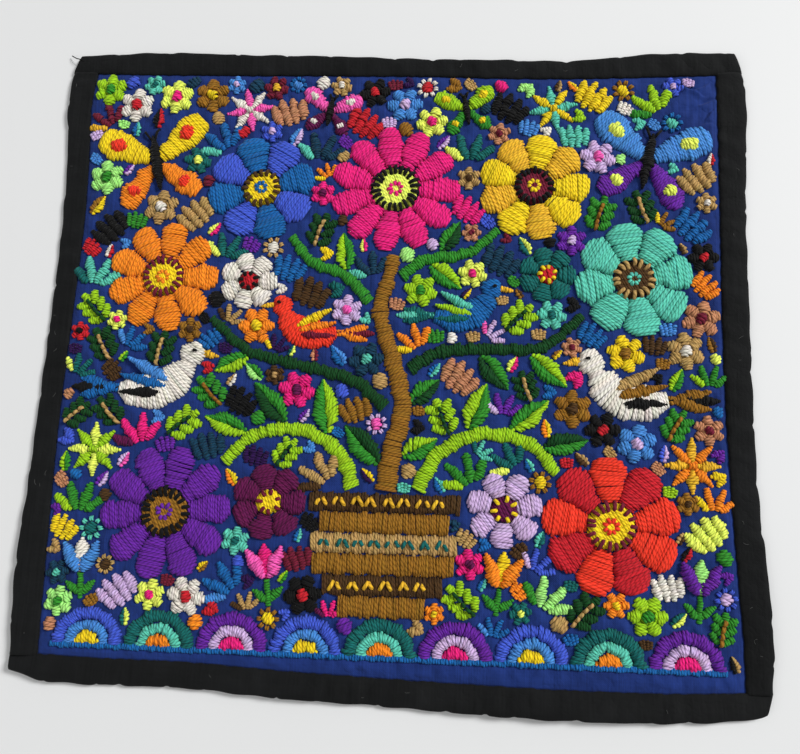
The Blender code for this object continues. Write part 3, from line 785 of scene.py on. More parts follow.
def waves(x, y, length, seed, count=26):
    # A sum of plane waves of about the given length, each with its own heading and start.
    pick = np.random.default_rng(seed)
    spans = ((0, tau), (0.65, 1.5), (0, tau))
    headings, sizes, starts = (pick.uniform(*span, count) for span in spans)
    total = 0 * x
    for heading, size, start in zip(headings, sizes, starts):
        turn = tau / (length * size)
        total = total + np.cos((x * math.cos(heading) + y * math.sin(heading)) * turn + start)
    return total / math.sqrt(count / 2)


def puckers(area):
    # Each is a ridge that starts at the edge of a stitched block, square to it with some stray, and dies
    # away: its height times exp(-(distance across / half width)^2) times 1 - (distance along / length)^2.
    soft = softened(area, 2.0)
    slopeY, slopeX = np.gradient(soft, grid["step"])
    steep = np.hypot(slopeX, slopeY) * (np.abs(soft - 0.35) < 0.1)
    pick = np.random.default_rng(17)
    spots = np.argwhere(steep > 0.05)
    height = np.zeros(area.shape)
    for j, i in spots[pick.integers(len(spots), size=pucker["count"])]:
        angle = math.atan2(-slopeY[j, i], -slopeX[j, i]) + pick.normal(0, pucker["turn"])
        long, high, half = (pick.uniform(*pucker[key]) for key in ("long", "high", "half"))
        reach = int(long / grid["step"]) + 3
        box = np.s_[max(j - reach, 0):j + reach, max(i - reach, 0):i + reach]
        dx, dy = wholeX[box] - gridX[i], wholeY[box] - gridY[j]
        along = dx * math.cos(angle) + dy * math.sin(angle) + pucker["start"]
        across = dy * math.cos(angle) - dx * math.sin(angle) + pick.normal(0, pucker["bend"]) * along**2
        ridge = high * np.exp(-(across / half) ** 2) * np.clip(1 - (along / long) ** 2, 0, 1)
        height[box] = np.maximum(height[box], ridge * (along > -pucker["start"]))
    return height


def groundRelief():
    # Swells, wrinkles, sags and puckers, all eased in from the seam, less the dip beside it.
    area = stitchedArea()
    free = np.clip(1 - softened(area, relief["pillowFrom"]), 0, 1)
    left = relief["underStitch"] + (1 - relief["underStitch"]) * free
    inside = insideGround(wholeX, wholeY)
    height = relief["pillow"] * softened(free**1.5, 1.2) + puckers(area)
    height += relief["wrinkle"] * waves(wholeX, wholeY, relief["wrinkleLength"], 3) * left
    height += relief["sag"] * waves(wholeX, wholeY, relief["sagLength"], 4)
    height = np.clip(height, *relief["limits"]) * eased(np.clip(inside / relief["edge"], 0, 1))
    return height - relief["seamDip"] * np.exp(-np.clip(inside, 0, 99) / relief["seamRun"])


reliefMap = groundRelief()
print("Ground relief worked, from %.2f to %.2f mm" % (reliefMap.min(), reliefMap.max()))


def creaseHeight(x, y):
    # Each crease is a lip. On the right of its path it falls off as a bell of its width, on the left three
    # times as fast, and a groove lies along there.
    total = 0 * x
    for points, high, wide in creases:
        path = smoothPath(np.array(points) + clothShift, 40)
        tangent = alongPath(path)[0]
        gap = np.hypot(x[..., None] - path[:, 0], y[..., None] - path[:, 1])
        near, far = np.argmin(gap, axis=-1), np.min(gap, axis=-1)
        left = tangent[near, 0] * (y - path[near, 1]) > tangent[near, 1] * (x - path[near, 0])
        groove = np.exp(-((far / wide - creaseForm["at"]) / creaseForm["half"]) ** 2)
        lip = np.exp(-(far / np.where(left, creaseForm["left"] * wide, wide)) ** 2)
        share = near / (len(path) - 1)
        fade = np.minimum(1, 0.3 + 4 * share * (1 - share))
        total += high * fade * (lip - creaseForm["deep"] * left * groove)
    return total * np.clip(insideGround(x, y) / 2, 0, 1)


def groundHeight(x, y):
    return groundTop + gridSample(reliefMap, x, y) + creaseHeight(x, y)


# Mesh making
def addObject(name, data):
    made = bpy.data.objects.new(name, data)
    bpy.context.scene.collection.objects.link(made)
    return made


def makeMesh(name, points, quads, caps, uv=None, colour=None):
    mesh = bpy.data.meshes.new(name)
    corners = np.r_[quads.ravel(), caps.ravel()]
    starts = np.r_[np.arange(len(quads)) * 4, quads.size + np.arange(len(caps)) * caps.shape[1]]
    mesh.vertices.add(len(points))
    mesh.vertices.foreach_set("co", (points * mm).astype(np.float32).ravel())
    mesh.loops.add(len(corners))
    mesh.loops.foreach_set("vertex_index", corners.astype(np.int32))
    mesh.polygons.add(len(starts))
    mesh.polygons.foreach_set("loop_start", starts.astype(np.int32))
    mesh.polygons.foreach_set("use_smooth", np.ones(len(starts), bool))
    mesh.update(calc_edges=True)
    if uv is not None:
        layer = mesh.uv_layers.new(name="yarnRun")
        layer.data.foreach_set("uv", uv.astype(np.float32).ravel())
    if colour is not None:
        attribute = mesh.color_attributes.new("yarnColour", "FLOAT_COLOR", "POINT")
        attribute.data.foreach_set("color", colour.astype(np.float32).ravel())
    mesh.validate()
    return addObject(name, mesh)


def finishPiece(piece, material, nodes=()):
    # Its material, the body that it rides on, and the CAD nodes that it stands for, which are hidden.
    piece.data.materials.append(material)
    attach(piece, "root")
    if nodes:
        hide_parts(*nodes)


def tubeFaces(count, stations, sides, turned=False):
    # Quads from ring to ring of every tube, and a face over each of its ends. Turned ones face the other
    # way, for rings that run round the other way.
    first = (np.arange(count) * stations * sides)[:, None, None]
    k, j = (np.arange(stations - 1) * sides)[:, None], np.arange(sides)
    n = (j + 1) % sides
    quads = np.stack([first + k + j, first + k + n, first + k + sides + n, first + k + sides + j], axis=-1)
    quads = quads.reshape(-1, 4)
    caps = np.vstack([first[:, 0] + j[::-1], first[:, 0] + (stations - 1) * sides + j])
    return (quads[:, ::-1], caps[:, ::-1]) if turned else (quads, caps)


# The rows of yarn
def stray(kind, size):
    # Normal draws with the kind's spread, none past its limit.
    spread, limit = yarn[kind]
    return np.clip(chance.normal(0, spread, size), -limit, limit)


def spacing(points):
    # Half the way between the neighbours on both sides.
    if len(points) == 1:
        return np.array([yarn["pitch"]])
    gap = np.linalg.norm(np.diff(points, axis=0), axis=1)
    return (np.r_[gap[0], gap] + np.r_[gap, gap[-1]]) / 2


def unevenRows(starts, ends, shade, layer):
    # The hand at work: the rows of a block lie closer here and wider there, single ends and the whole edge
    # stray, and rows lean to and fro. The first and last rows of a block lie lower.
    number = np.arange(len(starts))
    count = len(number)
    along = ends - starts
    length = np.maximum(np.linalg.norm(along, axis=1, keepdims=True), 1e-6)
    along = along / length
    calm = np.clip(length / yarn["calmLength"], 0.2, 1)
    if count > 3:
        shift = stray("gapStray", count)
        shift[[0, -1]] = 0
        starts, ends = (between(number + shift, number, points) for points in (starts, ends))
    run = number * yarn["pitch"] * tau / yarn["edgeLength"]
    pace, start = chance.uniform(0.7, 1.4, (2, 1)), chance.uniform(0, tau, (2, 1))
    wander = yarn["edgeStray"] * min(1, count / 8) * np.sin(run * pace + start)
    first, last = (stray("endStray", (2, count)) + wander)[..., None]
    lean = chance.normal(0, yarn["leanStray"], count)
    drift = np.sin(run * chance.uniform(0.3, 0.6) + chance.uniform(0, tau))
    lean = np.radians(lean + yarn["leanDrift"] * drift * (count > 5))
    side = np.c_[-along[:, 1], along[:, 0]] * length / 2 * lean[:, None] * calm
    starts = starts + along * first * calm - side
    ends = ends + along * last * calm + side
    share = np.ones(count)
    if count > 5:
        share[[0, -1]] = yarn["outerRow"]
        share[[1, -2]] = yarn["nextRow"]
    return starts, ends, shade, layer, share


def yarnTubes(rows, risePlaces, middle):
    # Every row is a closed tube of flat oval sections along an arch. It leaves the cloth steeply, as a
    # quarter ellipse, stays near its peak, and goes back in the same way. The sections are as wide as the
    # space to the neighbouring rows.
    count, length = len(rows["starts"]), rows["length"][:, None]
    along = (rows["ends"] - rows["starts"]) / length
    side = np.c_[-along[:, 1], along[:, 0]]
    run = np.minimum(yarn["riseShare"] * length, yarn["riseRun"])
    rise = run * np.array(risePlaces)
    at = np.hstack([rise, *([length / 2] if middle else []), length - rise[:, ::-1]])
    stations, sides = at.shape[1], len(sectionAngles)
    share = at / length
    arch = np.sin(pi * share)
    xy = rows["starts"][:, None] * (1 - share[..., None]) + rows["ends"][:, None] * share[..., None]
    xy = xy + side[:, None] * (rows["bow"][:, None] * arch)[..., None]

    near = np.minimum(at, length - at) / np.maximum(run, 1e-6)
    lift = np.sqrt(np.clip(1 - (1 - np.clip(near, 0, 1)) ** 2, 0, 1))
    crown = yarn["crown"] * arch * np.clip(length / 20, 0, 1)
    z = groundHeight(xy[..., 0], xy[..., 1]) - yarn["sink"]
    z = z + (rows["peak"] + yarn["sink"])[:, None] * lift + crown
    centre = np.dstack([xy, z])

    tangent = np.gradient(centre, axis=1)
    tangent /= np.maximum(np.linalg.norm(tangent, axis=2, keepdims=True), 1e-9)
    out = np.dstack([np.repeat(side[:, None, :], stations, axis=1), np.zeros((count, stations))])
    up = np.cross(tangent, out)
    up = np.where(up[..., 2:3] < 0, -up, up)
    width = rows["wideStart"][:, None] * (1 - share) + rows["wideEnd"][:, None] * share
    half = np.clip(yarn["wide"] * width, *yarn["halfLimits"])
    squeeze = yarn["rootSize"] + (1 - yarn["rootSize"]) * lift
    ring = (out[:, :, None] * (half * squeeze)[..., None, None] * np.cos(sectionAngles)[:, None]
            + up[:, :, None] * (yarn["highHalf"] * squeeze)[..., None, None] * np.sin(sectionAngles)[:, None])
    points = centre[:, :, None] + ring

    # u runs along the yarn in millimetres, from its own start, and v once round it.
    wound = rows["runStart"][:, None] + at * rows["lay"][:, None]
    v0 = np.degrees(sectionAngles) / 360
    v1 = np.r_[v0[1:], v0[0] + 1]
    u0, u1 = wound[:, :-1, None], wound[:, 1:, None]
    corners = ((u0, v0), (u0, v1), (u1, v1), (u1, v0))
    uv = np.stack([np.stack(np.broadcast_arrays(u, v), axis=-1) for u, v in corners], axis=-2)

    # Painted shade: the colour darkens towards each end of the row, where it dips into the cloth, for the
    # shadow there.
    deep = yarn["rootPaintedShade"] + (1 - yarn["rootPaintedShade"]) * lift
    colour = np.clip(rows["shade"][:, None] * deep[..., None], 0, 1)
    colour = np.repeat(np.dstack([colour, np.ones((count, stations))]).reshape(-1, 4), sides, axis=0)
    return points.reshape(-1, 3), *tubeFaces(count, stations, sides), uv.reshape(-1, 2), colour


def layYarn(name, blocks):
    # The rows' own strays are drawn first, and then the tubes are made form by form.
    starts, ends, dyes, layers, shares = zip(*[unevenRows(*block) for block in blocks])
    counts = [len(points) for points in starts]
    wideStart, wideEnd = (np.concatenate([spacing(points) for points in side]) for side in (starts, ends))
    starts, ends = np.vstack(starts), np.vstack(ends)
    length = np.maximum(np.linalg.norm(ends - starts, axis=1), 1e-6)
    count = len(length)
    peak = np.minimum(yarn["shortPeak"] + yarn["peakGain"] * length, yarn["peak"])
    peak = peak * np.concatenate(shares) + np.repeat(layers, counts) * yarn["layerRise"]
    tone = 1 + stray("shadeStray", count)
    dye = np.repeat([linearColour(shades[dye]) for dye in dyes], counts, axis=0)
    rows = dict(
        starts=starts, ends=ends, length=length, wideStart=wideStart, wideEnd=wideEnd,
        peak=peak + stray("peakStray", count),
        bow=chance.normal(0, yarn["bow"], count) * np.clip(length / 8, 0, 1),
        runStart=chance.uniform(0, 40, count),
        lay=chance.uniform(*yarn["lay"], count),
        shade=dye * (1 + chance.normal(0, yarn["hueStray"], (count, 3))) * tone[:, None],
    )
    made, least, offset = [], 0, 0
    for longest, risePlaces, middle in rowForms:
        pick = (length >= least) & (length < longest)
        least = longest
        picked = {key: values[pick] for key, values in rows.items()}
        points, quads, caps, uv, colour = yarnTubes(picked, risePlaces, middle)
        made.append((points, quads + offset, caps + offset, uv, colour))
        offset += len(points)
    points, quads, caps, uv, colour = (np.concatenate(part) for part in zip(*made))
    # Nobody sees the end faces, so any place on the yarn does for them.
    return makeMesh(name, points, quads, caps, np.vstack([uv, np.zeros((caps.size, 2))]), colour)


# Materials
class Value:
    # A number that a node gives. Every sum with it adds a Math node.

    def __init__(self, socket):
        self.socket = socket

    def worked(self, operation, *others):
        made = self.socket.id_data.nodes.new("ShaderNodeMath")
        made.operation = operation
        for target, value in zip(made.inputs, (self, *others)):
            feed(target, value)
        return Value(made.outputs[0])

    def __add__(self, other):
        return self.worked("ADD", other)

    def __sub__(self, other):
        return self.worked("SUBTRACT", other)

    def __mul__(self, other):
        return self.worked("MULTIPLY", other)

    def __truediv__(self, other):
        return self.worked("DIVIDE", other)

    def __pow__(self, other):
        return self.worked("POWER", other)

    def __abs__(self):
        return self.worked("ABSOLUTE")

    def sine(self):
        return self.worked("SINE")


def feed(target, value):
    # A socket takes a fixed value, or a link from what gives it.
    if isinstance(value, Value):
        value = value.socket
    if isinstance(value, bpy.types.NodeSocket):
        target.id_data.links.new(value, target)
    else:
        target.default_value = value


def node(tree, kind, **values):
    # The values are the new node's settings or what its sockets take.
    made = tree.nodes.new(kind)
    for key, value in values.items():
        if hasattr(made, key):
            setattr(made, key, value)
        else:
            feed(made.inputs[key], value)
    return made


def firstTwo(vector):
    parts = node(vector.id_data, "ShaderNodeSeparateXYZ", Vector=vector)
    return Value(parts.outputs[0]), Value(parts.outputs[1])


def noise(tree, where, scale, detail, roughness=0.5):
    made = node(tree, "ShaderNodeTexNoise", Scale=scale, Detail=detail, Roughness=roughness, Vector=where)
    return Value(made.outputs["Fac"])


def noiseAt(tree, where, length, detail):
    # Soft noise whose lumps are about the given length apart.
    return noise(tree, where, 1 / (length * mm), detail, 0.6)


def mixed(tree, share, dark, light):
    # The dark colour where the share is nought, the light one where it is one.
    made = node(tree, "ShaderNodeMix", data_type="RGBA")
    for place, value in ((0, share), (6, (*dark, 1)), (7, (*light, 1))):
        feed(made.inputs[place], value)
    return made.outputs[2]


def startMaterial(name, **sockets):
    material = bpy.data.materials.new(name)
    material.use_nodes = True
    surface = material.node_tree.nodes["Principled BSDF"]
    for key, value in sockets.items():
        surface.inputs[key.replace("_", " ")].default_value = value
    return material, material.node_tree, surface


yarnLook = dict(
    layLength=3.0,  # from one ply's ridge to the next along the yarn
    plyDepth=0.54,
    plyCurve=0.85,
    fibreDepth=0.26,
    fibres=(0.9, 7.0),  # how closely they lie along the yarn and across the plies
    fibreTone=(0.75, 0.5),  # how bright between fibres, and how much more on them
    bump=0.9,
    roughness=0.76,
    sheen=0.07,
    groove=0.60,  # painted shade and highlight: how bright the grooves between the plies are, and how much more the ridges
    ridge=0.54,
    sidePaintedShade=0.74,  # painted shade and highlight: how bright a row's sides are, and how much more its top
    top=0.32,
)


def pliedYarn():
    # Two plies wind round each other: a ridge wherever twice v plus u over the lay is a half. Fine fibres
    # run with the plies. Painted shade darkens the grooves between the plies and a row's sides, and the
    # ridges and a row's top are painted lighter.
    look = yarnLook
    material, tree, surface = startMaterial(
        "pliedYarn", Roughness=look["roughness"], Sheen_Weight=look["sheen"],
        Sheen_Roughness=0.45, Specular_IOR_Level=0.18,
    )
    u, v = firstTwo(node(tree, "ShaderNodeUVMap", uv_map="yarnRun").outputs[0])
    phase = v * 2.0 + u / look["layLength"]
    ridge = abs((phase * pi).sine()) ** look["plyCurve"]
    run, across = look["fibres"]
    place = node(tree, "ShaderNodeCombineXYZ", X=u * run, Y=phase * across)
    fibre = noise(tree, place.outputs[0], 1.0, 3.0, 0.6)
    height = ridge * look["plyDepth"] + fibre * look["fibreDepth"]
    bump = node(tree, "ShaderNodeBump", Strength=look["bump"], Distance=0.45 * mm, Height=height)
    feed(surface.inputs["Normal"], bump.outputs[0])
    dull, bright = look["fibreTone"]
    # Painted shade and highlight: grooves and a row's sides darkened, ridges and its top lightened.
    tone = (ridge * look["ridge"] + look["groove"]) * (fibre * bright + dull)
    tone = tone * ((v * tau).sine() * look["top"] + look["sidePaintedShade"])
    dyed = node(tree, "ShaderNodeAttribute", attribute_name="yarnColour")
    tinted = node(tree, "ShaderNodeVectorMath", operation="SCALE", Vector=dyed.outputs["Color"], Scale=tone)
    feed(surface.inputs["Base Color"], tinted.outputs[0])
    return material


cottonLooks = {
    # dark and light of the dye, roughness, sheen, depth of the weave and of the crumples
    "blueCotton": ("#0e1d46", "#26408d", 0.86, 0.05, 0.7, 0.45),
    "blackCotton": ("#050606", "#1d1e1f", 0.80, 0.04, 0.7, 0.4),
}
weave = dict(
    thread=0.52,
    drift=0.9,  # a thread runs this far to and fro, over this length
    driftLength=16,
    streak=(30.0, 1100.0),  # a thread's thicker and thinner stretches, per metre along and across it
    streakShares=(0.75, 0.25),  # of the upright threads and of the level ones
    crumple=9.0,  # from one small crumple to the next
    crumpleForm=(4.0, 0.7),  # how steep a crumple is, and to what power
    blotch=24.0,
    depths=(0.6, 0.8),  # how much the weave and the streaks stand out
    # what streaks, blotches and weave add to the light dye's share, and what is taken off it
    dyeing=(0.9, 0.9, 0.25, 0.53),
)


def cotton(name):
    # A plain weave: warp and weft are two sets of waves, and a chequer of their signs says which is on top.
    dark, light, roughness, sheen, weaveDepth, crumpleDepth = cottonLooks[name]
    material, tree, surface = startMaterial(
        name, Roughness=roughness, Sheen_Weight=sheen, Sheen_Roughness=0.5, Specular_IOR_Level=0.12,
    )
    where = node(tree, "ShaderNodeTexCoord").outputs["Object"]
    drift = noiseAt(tree, where, weave["driftLength"], 2.0) * (weave["drift"] * mm)
    turns = pi / (weave["thread"] * mm)
    warp, weft = (((place + drift) * turns).sine() for place in firstTwo(where))
    cloth = warp * weft * 0.5 + 0.5
    long, short = weave["streak"]
    stretched = (
        node(tree, "ShaderNodeMapping", Scale=stretch, Vector=where).outputs[0]
        for stretch in ((short, long, long), (long, short, long))
    )
    upright, level = (noise(tree, place, 1.0, 2.0) for place in stretched)
    slubs = upright * weave["streakShares"][0] + level * weave["streakShares"][1]
    # A crumple is a sharp line where the noise passes its middle.
    steepness, power = weave["crumpleForm"]
    crumple = (abs(noiseAt(tree, where, weave["crumple"], 3.0) - 0.5) * steepness) ** power
    height = cloth * weave["depths"][0] + slubs * weave["depths"][1]
    fine = node(tree, "ShaderNodeBump", Strength=weaveDepth, Distance=0.12 * mm, Height=height)
    coarse = node(tree, "ShaderNodeBump", Strength=crumpleDepth, Distance=0.7 * mm, Height=crumple)
    feed(coarse.inputs["Normal"], fine.outputs[0])
    feed(surface.inputs["Normal"], coarse.outputs[0])
    bySlub, byBlotch, byCloth, less = weave["dyeing"]
    amount = slubs * bySlub + noiseAt(tree, where, weave["blotch"], 5.0) * byBlotch + cloth * byCloth - less
    feed(surface.inputs["Base Color"], mixed(tree, amount, linearColour(dark), linearColour(light)))
    return material


yarnMaterial = pliedYarn()
blueCotton = cotton("blueCotton")
blackCotton = cotton("blackCotton")

for name, motif in motifs.items():
    finishPiece(layYarn(name, motif["blocks"]), yarnMaterial, motif["nodes"])
print("Rows of yarn laid:", sum(len(block[0]) for motif in motifs.values() for block in motif["blocks"]))

# The ground: one panel inside the four seams, with the relief on its face
ground = dict(
    size=(0.373, 0.344),
    across=368,  # its width and height, for the number of steps
    upward=340,
    step=1.45,
    fineStep=0.6,  # at the creased upper right corner, which starts at these shares of the width and height
    fineFrom=(0.93, 0.86),
    underside=0.02,  # over the table
)


def groundCorner(side, edge):
    # Where two seams meet, found by going to and fro between them.
    y = sideTables[edge][0, seamColumn]
    for _ in range(5):
        x = sideValue(side, y)
        y = sideValue(edge, x)
    return np.array([x, y])


def gridShares(length, fineFrom):
    # Even steps up to that share of the length, and finer ones from there on.
    coarse = np.linspace(0, fineFrom, round(length * fineFrom / ground["step"]), endpoint=False)
    return np.r_[coarse, np.linspace(fineFrom, 1, round(length * (1 - fineFrom) / ground["fineStep"]) + 1)]


def seamPoints(name, first, last, share):
    # Points of a seam at these shares of the way from its first corner to its last.
    k = 0 if name in ("top", "bottom") else 1
    along = first[k] + (last[k] - first[k]) * share
    pair = (along, sideValue(name, along))
    return np.c_[pair[k], pair[1 - k]]


def makeGround():
    # A grid spanned between the seams: what each pair of sides asks for, added up, less what the four
    # corners ask for.
    across = gridShares(ground["across"], ground["fineFrom"][0])
    upward = gridShares(ground["upward"], ground["fineFrom"][1])
    lowLeft, lowRight, highLeft, highRight = (
        groundCorner(side, edge) for edge in ("bottom", "top") for side in ("left", "right")
    )
    low = seamPoints("bottom", lowLeft, lowRight, across)[None]
    high = seamPoints("top", highLeft, highRight, across)[None]
    left = seamPoints("left", lowLeft, highLeft, upward)[:, None]
    right = seamPoints("right", lowRight, highRight, upward)[:, None]
    u, v = across[None, :, None], upward[:, None, None]
    corners = (lowLeft * (1 - u) + lowRight * u) * (1 - v) + (highLeft * (1 - u) + highRight * u) * v
    xy = low * (1 - v) + high * v + left * (1 - u) + right * u - corners + clothShift
    points = np.dstack([xy, groundHeight(xy[..., 0], xy[..., 1])]).reshape(-1, 3)
    index = np.arange(len(points)).reshape(len(upward), len(across))
    face = np.stack([index[:-1, :-1], index[:-1, 1:], index[1:, 1:], index[1:, :-1]], axis=-1)
    rim = np.r_[index[0], index[1:, -1], index[-1, -2::-1], index[-2:0:-1, 0]]
    under = np.c_[points[rim, :2], np.full(len(rim), ground["underside"])]
    foot = len(points) + np.arange(len(rim))
    edge = np.c_[foot, np.roll(foot, -1), np.roll(rim, -1), rim]
    quads = np.vstack([face.reshape(-1, 4), edge])
    piece = makeMesh("ground_panel", np.vstack([points, under]), quads, foot[None, ::-1])
    finishPiece(piece, blueCotton, ["ground_cloth"])
    return piece


groundPiece = makeGround()
print("Ground panel made")

# Border strips: cotton folded double, its fold outwards and its turned-in edges stitched down at the seam
strip = dict(
    # x where the long strips' seam and rim start and end
    ends=dict(top=((-198.2, 197.2), (-194.0, 193.2)), bottom=((-198.6, 199.4), (-197.6, 195.8))),
    long=396,  # the long and the short strips' length, for the number of steps
    short=340,
    step=1.3,
    thick=2.2,
    layer=0.85,
    puff=0.45,
    notchEvery=(9, 46),
    notchDeep=(0.25, 0.95),
    notchHalf=(1.0, 2.6),
    ripple=0.35,
    rippleLength=23.0,
    rippleSwell=78.0,
    cover=0.45,  # it laps over the ground's edge by this much,
    seamWander=0.32,  # and its hand-sewn inner edge runs this much to and fro
    seamLength=6.5,
    seamPress=0.62,  # it is pressed down there this much, over this share of its width
    pressRun=0.045,
    underHigh=0.04,  # its underside over the table
    slitDip=0.25,  # the upper layer sags into the slit this much at the seam, over this share of the width
    slitRun=0.05,
    slitClear=0.1,  # and the lower layer is this much thinner
    stitchGap=4.4,
    stitchDip=0.28,
    waver=0.26,
    waverLength=11.0,
    butt=0.3,  # a short strip's end is pushed this far under the long one
    # where the section's points lie, as shares of the width: under the strip, over it, and in the slit
    # between its two layers, and at which angles round the fold
    underAt=(0.0, 0.16, 0.36, 0.56, 0.76, 0.90),
    overAt=(0.90, 0.78, 0.64, 0.50, 0.36, 0.22, 0.12, 0.05, 0.012, 0.0),
    slitAt=(0.0, 0.3, 0.6, 0.86),
    foldAt=(-60, -30, 0, 30, 60),
)


def rimOffset(along, seed):
    # A slow ripple, less the small notches where the fold was pinched.
    pick = np.random.default_rng(seed)
    offset = strip["ripple"] * np.sin(tau * along / strip["rippleLength"])
    offset = offset * np.cos(pi * along / strip["rippleSwell"])
    place = along.min()
    while place < along.max():
        place += pick.uniform(*strip["notchEvery"])
        deep, half = pick.uniform(*strip["notchDeep"]), pick.uniform(*strip["notchHalf"])
        offset = offset - deep * np.exp(-((along - place) / half) ** 2)
    return offset


def puffed(share):
    # How high the strip's face bulges there: a sine over its width to the power 0.8.
    return strip["puff"] * np.sin(pi * share) ** 0.8


def stripEdges(name):
    # Seam and rim as points side by side, and the rim's lift. Short strips end at the long ones' seams.
    outward = 1 if name in ("top", "right") else -1
    if name in strip["ends"]:
        steps = round(strip["long"] / strip["step"])
        seamX, rimX = (np.linspace(*ends, steps) for ends in strip["ends"][name])
        rimY = sideValue(name, rimX, rimColumn) + outward * rimOffset(rimX, 21 + outward)
        return np.c_[seamX, sideValue(name, seamX)], np.c_[rimX, rimY], sideValue(name, rimX, liftColumn)
    first, last = clothSides[name][0][0], clothSides[name][-1][0]
    share = np.linspace(0, 1, round(strip["short"] / strip["step"]))
    y = first + (last - first) * share
    edges = []
    for x in (sideValue(name, y), sideValue(name, y, rimColumn) + outward * rimOffset(y, 31 + outward)):
        low, high = sideValue("bottom", x) - strip["butt"], sideValue("top", x) + strip["butt"]
        edges.append(np.c_[x, low + (high - low) * share])
    return *edges, sideValue(name, y, liftColumn)


def makeStrip(name):
    # One closed section, carried along the seam: from the seam under the strip, round its fold, back over
    # it, and then into the slit between the two layers and out again.
    seam, rim, lift = stripEdges(name)
    seam, rim, lift = seam + clothShift, rim + clothShift, lift[:, None]
    out = (rim - seam) / np.linalg.norm(rim - seam, axis=1)[:, None]
    wander = strip["seamWander"] * np.tanh(waves(seam[:, 0], seam[:, 1], strip["seamLength"], 12))
    seam = seam - out * (strip["cover"] + wander)[:, None]
    wide = np.linalg.norm(rim - seam, axis=1)[:, None]
    thick, layer = strip["thick"], strip["layer"]
    fold = thick / 2
    waver = strip["waver"] * waves(seam[:, 0], seam[:, 1], strip["waverLength"], 8)[:, None]
    run = alongPath(seam)[2][:, None]
    press = strip["seamPress"] + strip["stitchDip"] * np.abs(np.cos(pi * run / strip["stitchGap"])) ** 6
    under, over, slit = (np.array(strip[key]) for key in ("underAt", "overAt", "slitAt"))
    turn = np.radians(strip["foldAt"])
    face = puffed(over) - press * np.exp(-over / strip["pressRun"]) + waver * np.sin(pi * over)
    dip = strip["slitDip"] * np.exp(-slit / strip["slitRun"])
    parts = (
        # distance from the seam, height
        (under * (wide - fold / 2), lift * eased(under) + strip["underHigh"]),
        (wide - fold + fold * np.cos(turn), lift + fold + fold * np.sin(turn)),
        (over * (wide - fold / 2), thick + lift * eased(over) + face),
        (slit * (wide - fold), thick - layer + lift * eased(slit) - dip),
        (slit[::-1] * (wide - fold), layer + lift * eased(slit[::-1]) - strip["slitClear"]),
    )
    reach, high = (np.hstack(part) for part in zip(*parts))
    points = np.dstack([seam[:, None] + out[:, None] * reach[..., None], high]).reshape(-1, 3)
    piece = makeMesh("strip_" + name, points, *tubeFaces(1, *reach.shape, name in ("top", "left")))
    finishPiece(piece, blackCotton, ["border_" + name])
    return piece


strips = [
    makeStrip("top"), makeStrip("bottom"),
    makeStrip("left"), makeStrip("right"),
]
print("Border strips made")

# Loose bits: white lint on the black cotton, and the end of a sewing thread at the upper left corner
looseBits = dict(
    lint=30,
    lintLong=(0.8, 3.2),
    lintRadius=0.07,
    lintOver=0.16,  # its middle line, over the strip
    lintShade="#8e8f8d",
    # the thread's end, from the fold: x, y over the garden's zero, height
    threadEnd=((-192.6, 176.6, 2.3), (-194.9, 177.6, 3.1), (-197.6, 178.6, 2.6), (-200.9, 180.9, 1.4)),
    threadRadius=0.33,
    threadShade="#0b0b0b",
)


def fineTubes(name, paths, radius, colour, sides=5):
    # Tubes of few sides along paths of equally many points, closed at both ends.
    paths = np.asarray(paths, float)
    tangent = np.gradient(paths, axis=1)
    tangent /= np.linalg.norm(tangent, axis=2, keepdims=True)
    across = np.cross(tangent, (0.0, 0.0, 1.0))
    across /= np.linalg.norm(across, axis=2, keepdims=True)
    up = np.cross(across, tangent)
    angle = np.arange(sides) * tau / sides
    ring = across[:, :, None] * np.cos(angle)[:, None] + up[:, :, None] * np.sin(angle)[:, None]
    points = (paths[:, :, None] + ring * radius).reshape(-1, 3)
    quads, caps = tubeFaces(*paths.shape[:2], sides, True)
    uv = np.zeros((quads.size + caps.size, 2))
    tint = np.tile([*linearColour(colour), 1], (len(points), 1))
    finishPiece(makeMesh(name, points, quads, caps, uv, tint), yarnMaterial)


def makeLooseBits():
    # A bit of lint lies curled on a strip: a short arc of a few points.
    pick = np.random.default_rng(29)
    u = np.linspace(-0.5, 0.5, 6)
    paths = []
    for _ in range(looseBits["lint"]):
        name = ("top", "bottom", "left", "right")[pick.integers(4)]
        along, share = pick.uniform(-165, 165), pick.uniform(0.25, 0.8)
        edge = sideValue(name, along) * (1 - share) + sideValue(name, along, rimColumn) * share
        place = np.array([along, edge] if name in ("top", "bottom") else [edge, along]) + clothShift
        long, bend, heading = pick.uniform(*looseBits["lintLong"]), pick.normal(0, 0.35), pick.uniform(0, 180)
        curl = np.c_[u * long, bend * long * u**2] @ rotation(heading).T + place
        top = strip["thick"] + sideValue(name, along, liftColumn) * eased(share) + puffed(share)
        paths.append(np.c_[curl, np.full(len(u), top + looseBits["lintOver"])])
    fineTubes("lint", paths, looseBits["lintRadius"], looseBits["lintShade"])
    thread = smoothPath(looseBits["threadEnd"], 14) + (*garden, 0)
    fineTubes("loose_thread_end", [thread], looseBits["threadRadius"], looseBits["threadShade"])


makeLooseBits()
print("Loose bits made")

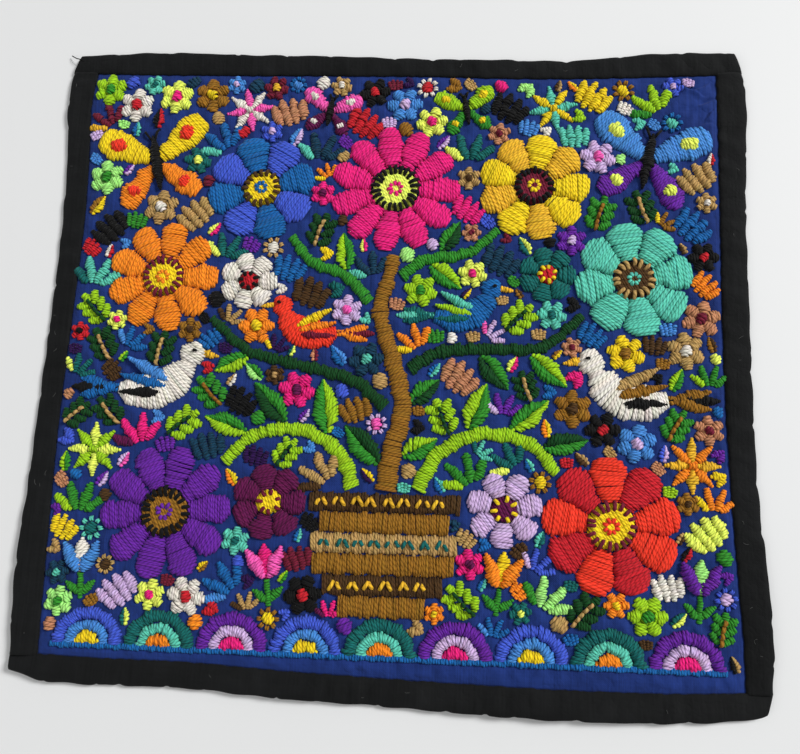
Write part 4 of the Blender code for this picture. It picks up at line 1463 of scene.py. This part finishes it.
# Table, light and camera. Their places and sizes are in metres, but for the camera's place.
table = dict(colour="#eceded", darker=0.97, size=2.4, under=0.0002)
lights = {
    # place, size, watts
    "windowLight": ((3.2, 1.7, 2.7), 1.3, 190.0),
    "fillLight": ((-1.6, -0.9, 1.5), 1.4, 8.0),
}
roomLight = 0.33
view = dict(
    place=(33.3, -79.4, 420.9), ahead=(-0.064, 0.162, -0.985), up=(-0.022, 0.986, 0.163),
    lens=34.65, sensor=36.0, nearest=0.01,
)


def makeTable():
    half = table["size"] / 2
    corners = [(x * half, y * half, -table["under"]) for x, y in ((-1, -1), (1, -1), (1, 1), (-1, 1))]
    mesh = bpy.data.meshes.new("table")
    mesh.from_pydata(corners, [], [(0, 1, 2, 3)])
    material, tree, surface = startMaterial("paleTable", Roughness=0.5, Specular_IOR_Level=0.3)
    where = node(tree, "ShaderNodeTexCoord").outputs["Object"]
    colour = linearColour(table["colour"])
    cloudy = mixed(tree, noise(tree, where, 3.0, 1.0), colour * table["darker"], colour)
    feed(surface.inputs["Base Color"], cloudy)
    mesh.materials.append(material)
    addObject("table", mesh)


def makeLights():
    for name, (place, size, power) in lights.items():
        light = bpy.data.lights.new(name, "AREA")
        light.energy = power
        light.size = size
        lamp = addObject(name, light)
        lamp.location = place
        lamp.rotation_euler = (-Vector(place)).to_track_quat("-Z", "Y").to_euler()
    world = bpy.data.worlds.new("softRoom")
    world.use_nodes = True
    background = world.node_tree.nodes["Background"]
    background.inputs[0].default_value = (1.0, 1.0, 1.0, 1)
    background.inputs[1].default_value = roomLight
    bpy.context.scene.world = world
    bpy.context.scene.view_settings.view_transform = "Standard"


def makeCamera():
    ahead = Vector(view["ahead"]).normalized()
    right = ahead.cross(Vector(view["up"])).normalized()
    turned = Matrix((right, right.cross(ahead), -ahead)).transposed().to_4x4()
    data = bpy.data.cameras.new("photoCamera")
    data.lens = view["lens"]
    data.sensor_width = view["sensor"]
    data.clip_start = view["nearest"]
    camera = addObject("photoCamera", data)
    camera.matrix_world = Matrix.Translation(Vector(view["place"]) * mm) @ turned
    bpy.context.scene.camera = camera


makeTable()
makeLights()
makeCamera()
print("Table, light and camera set")
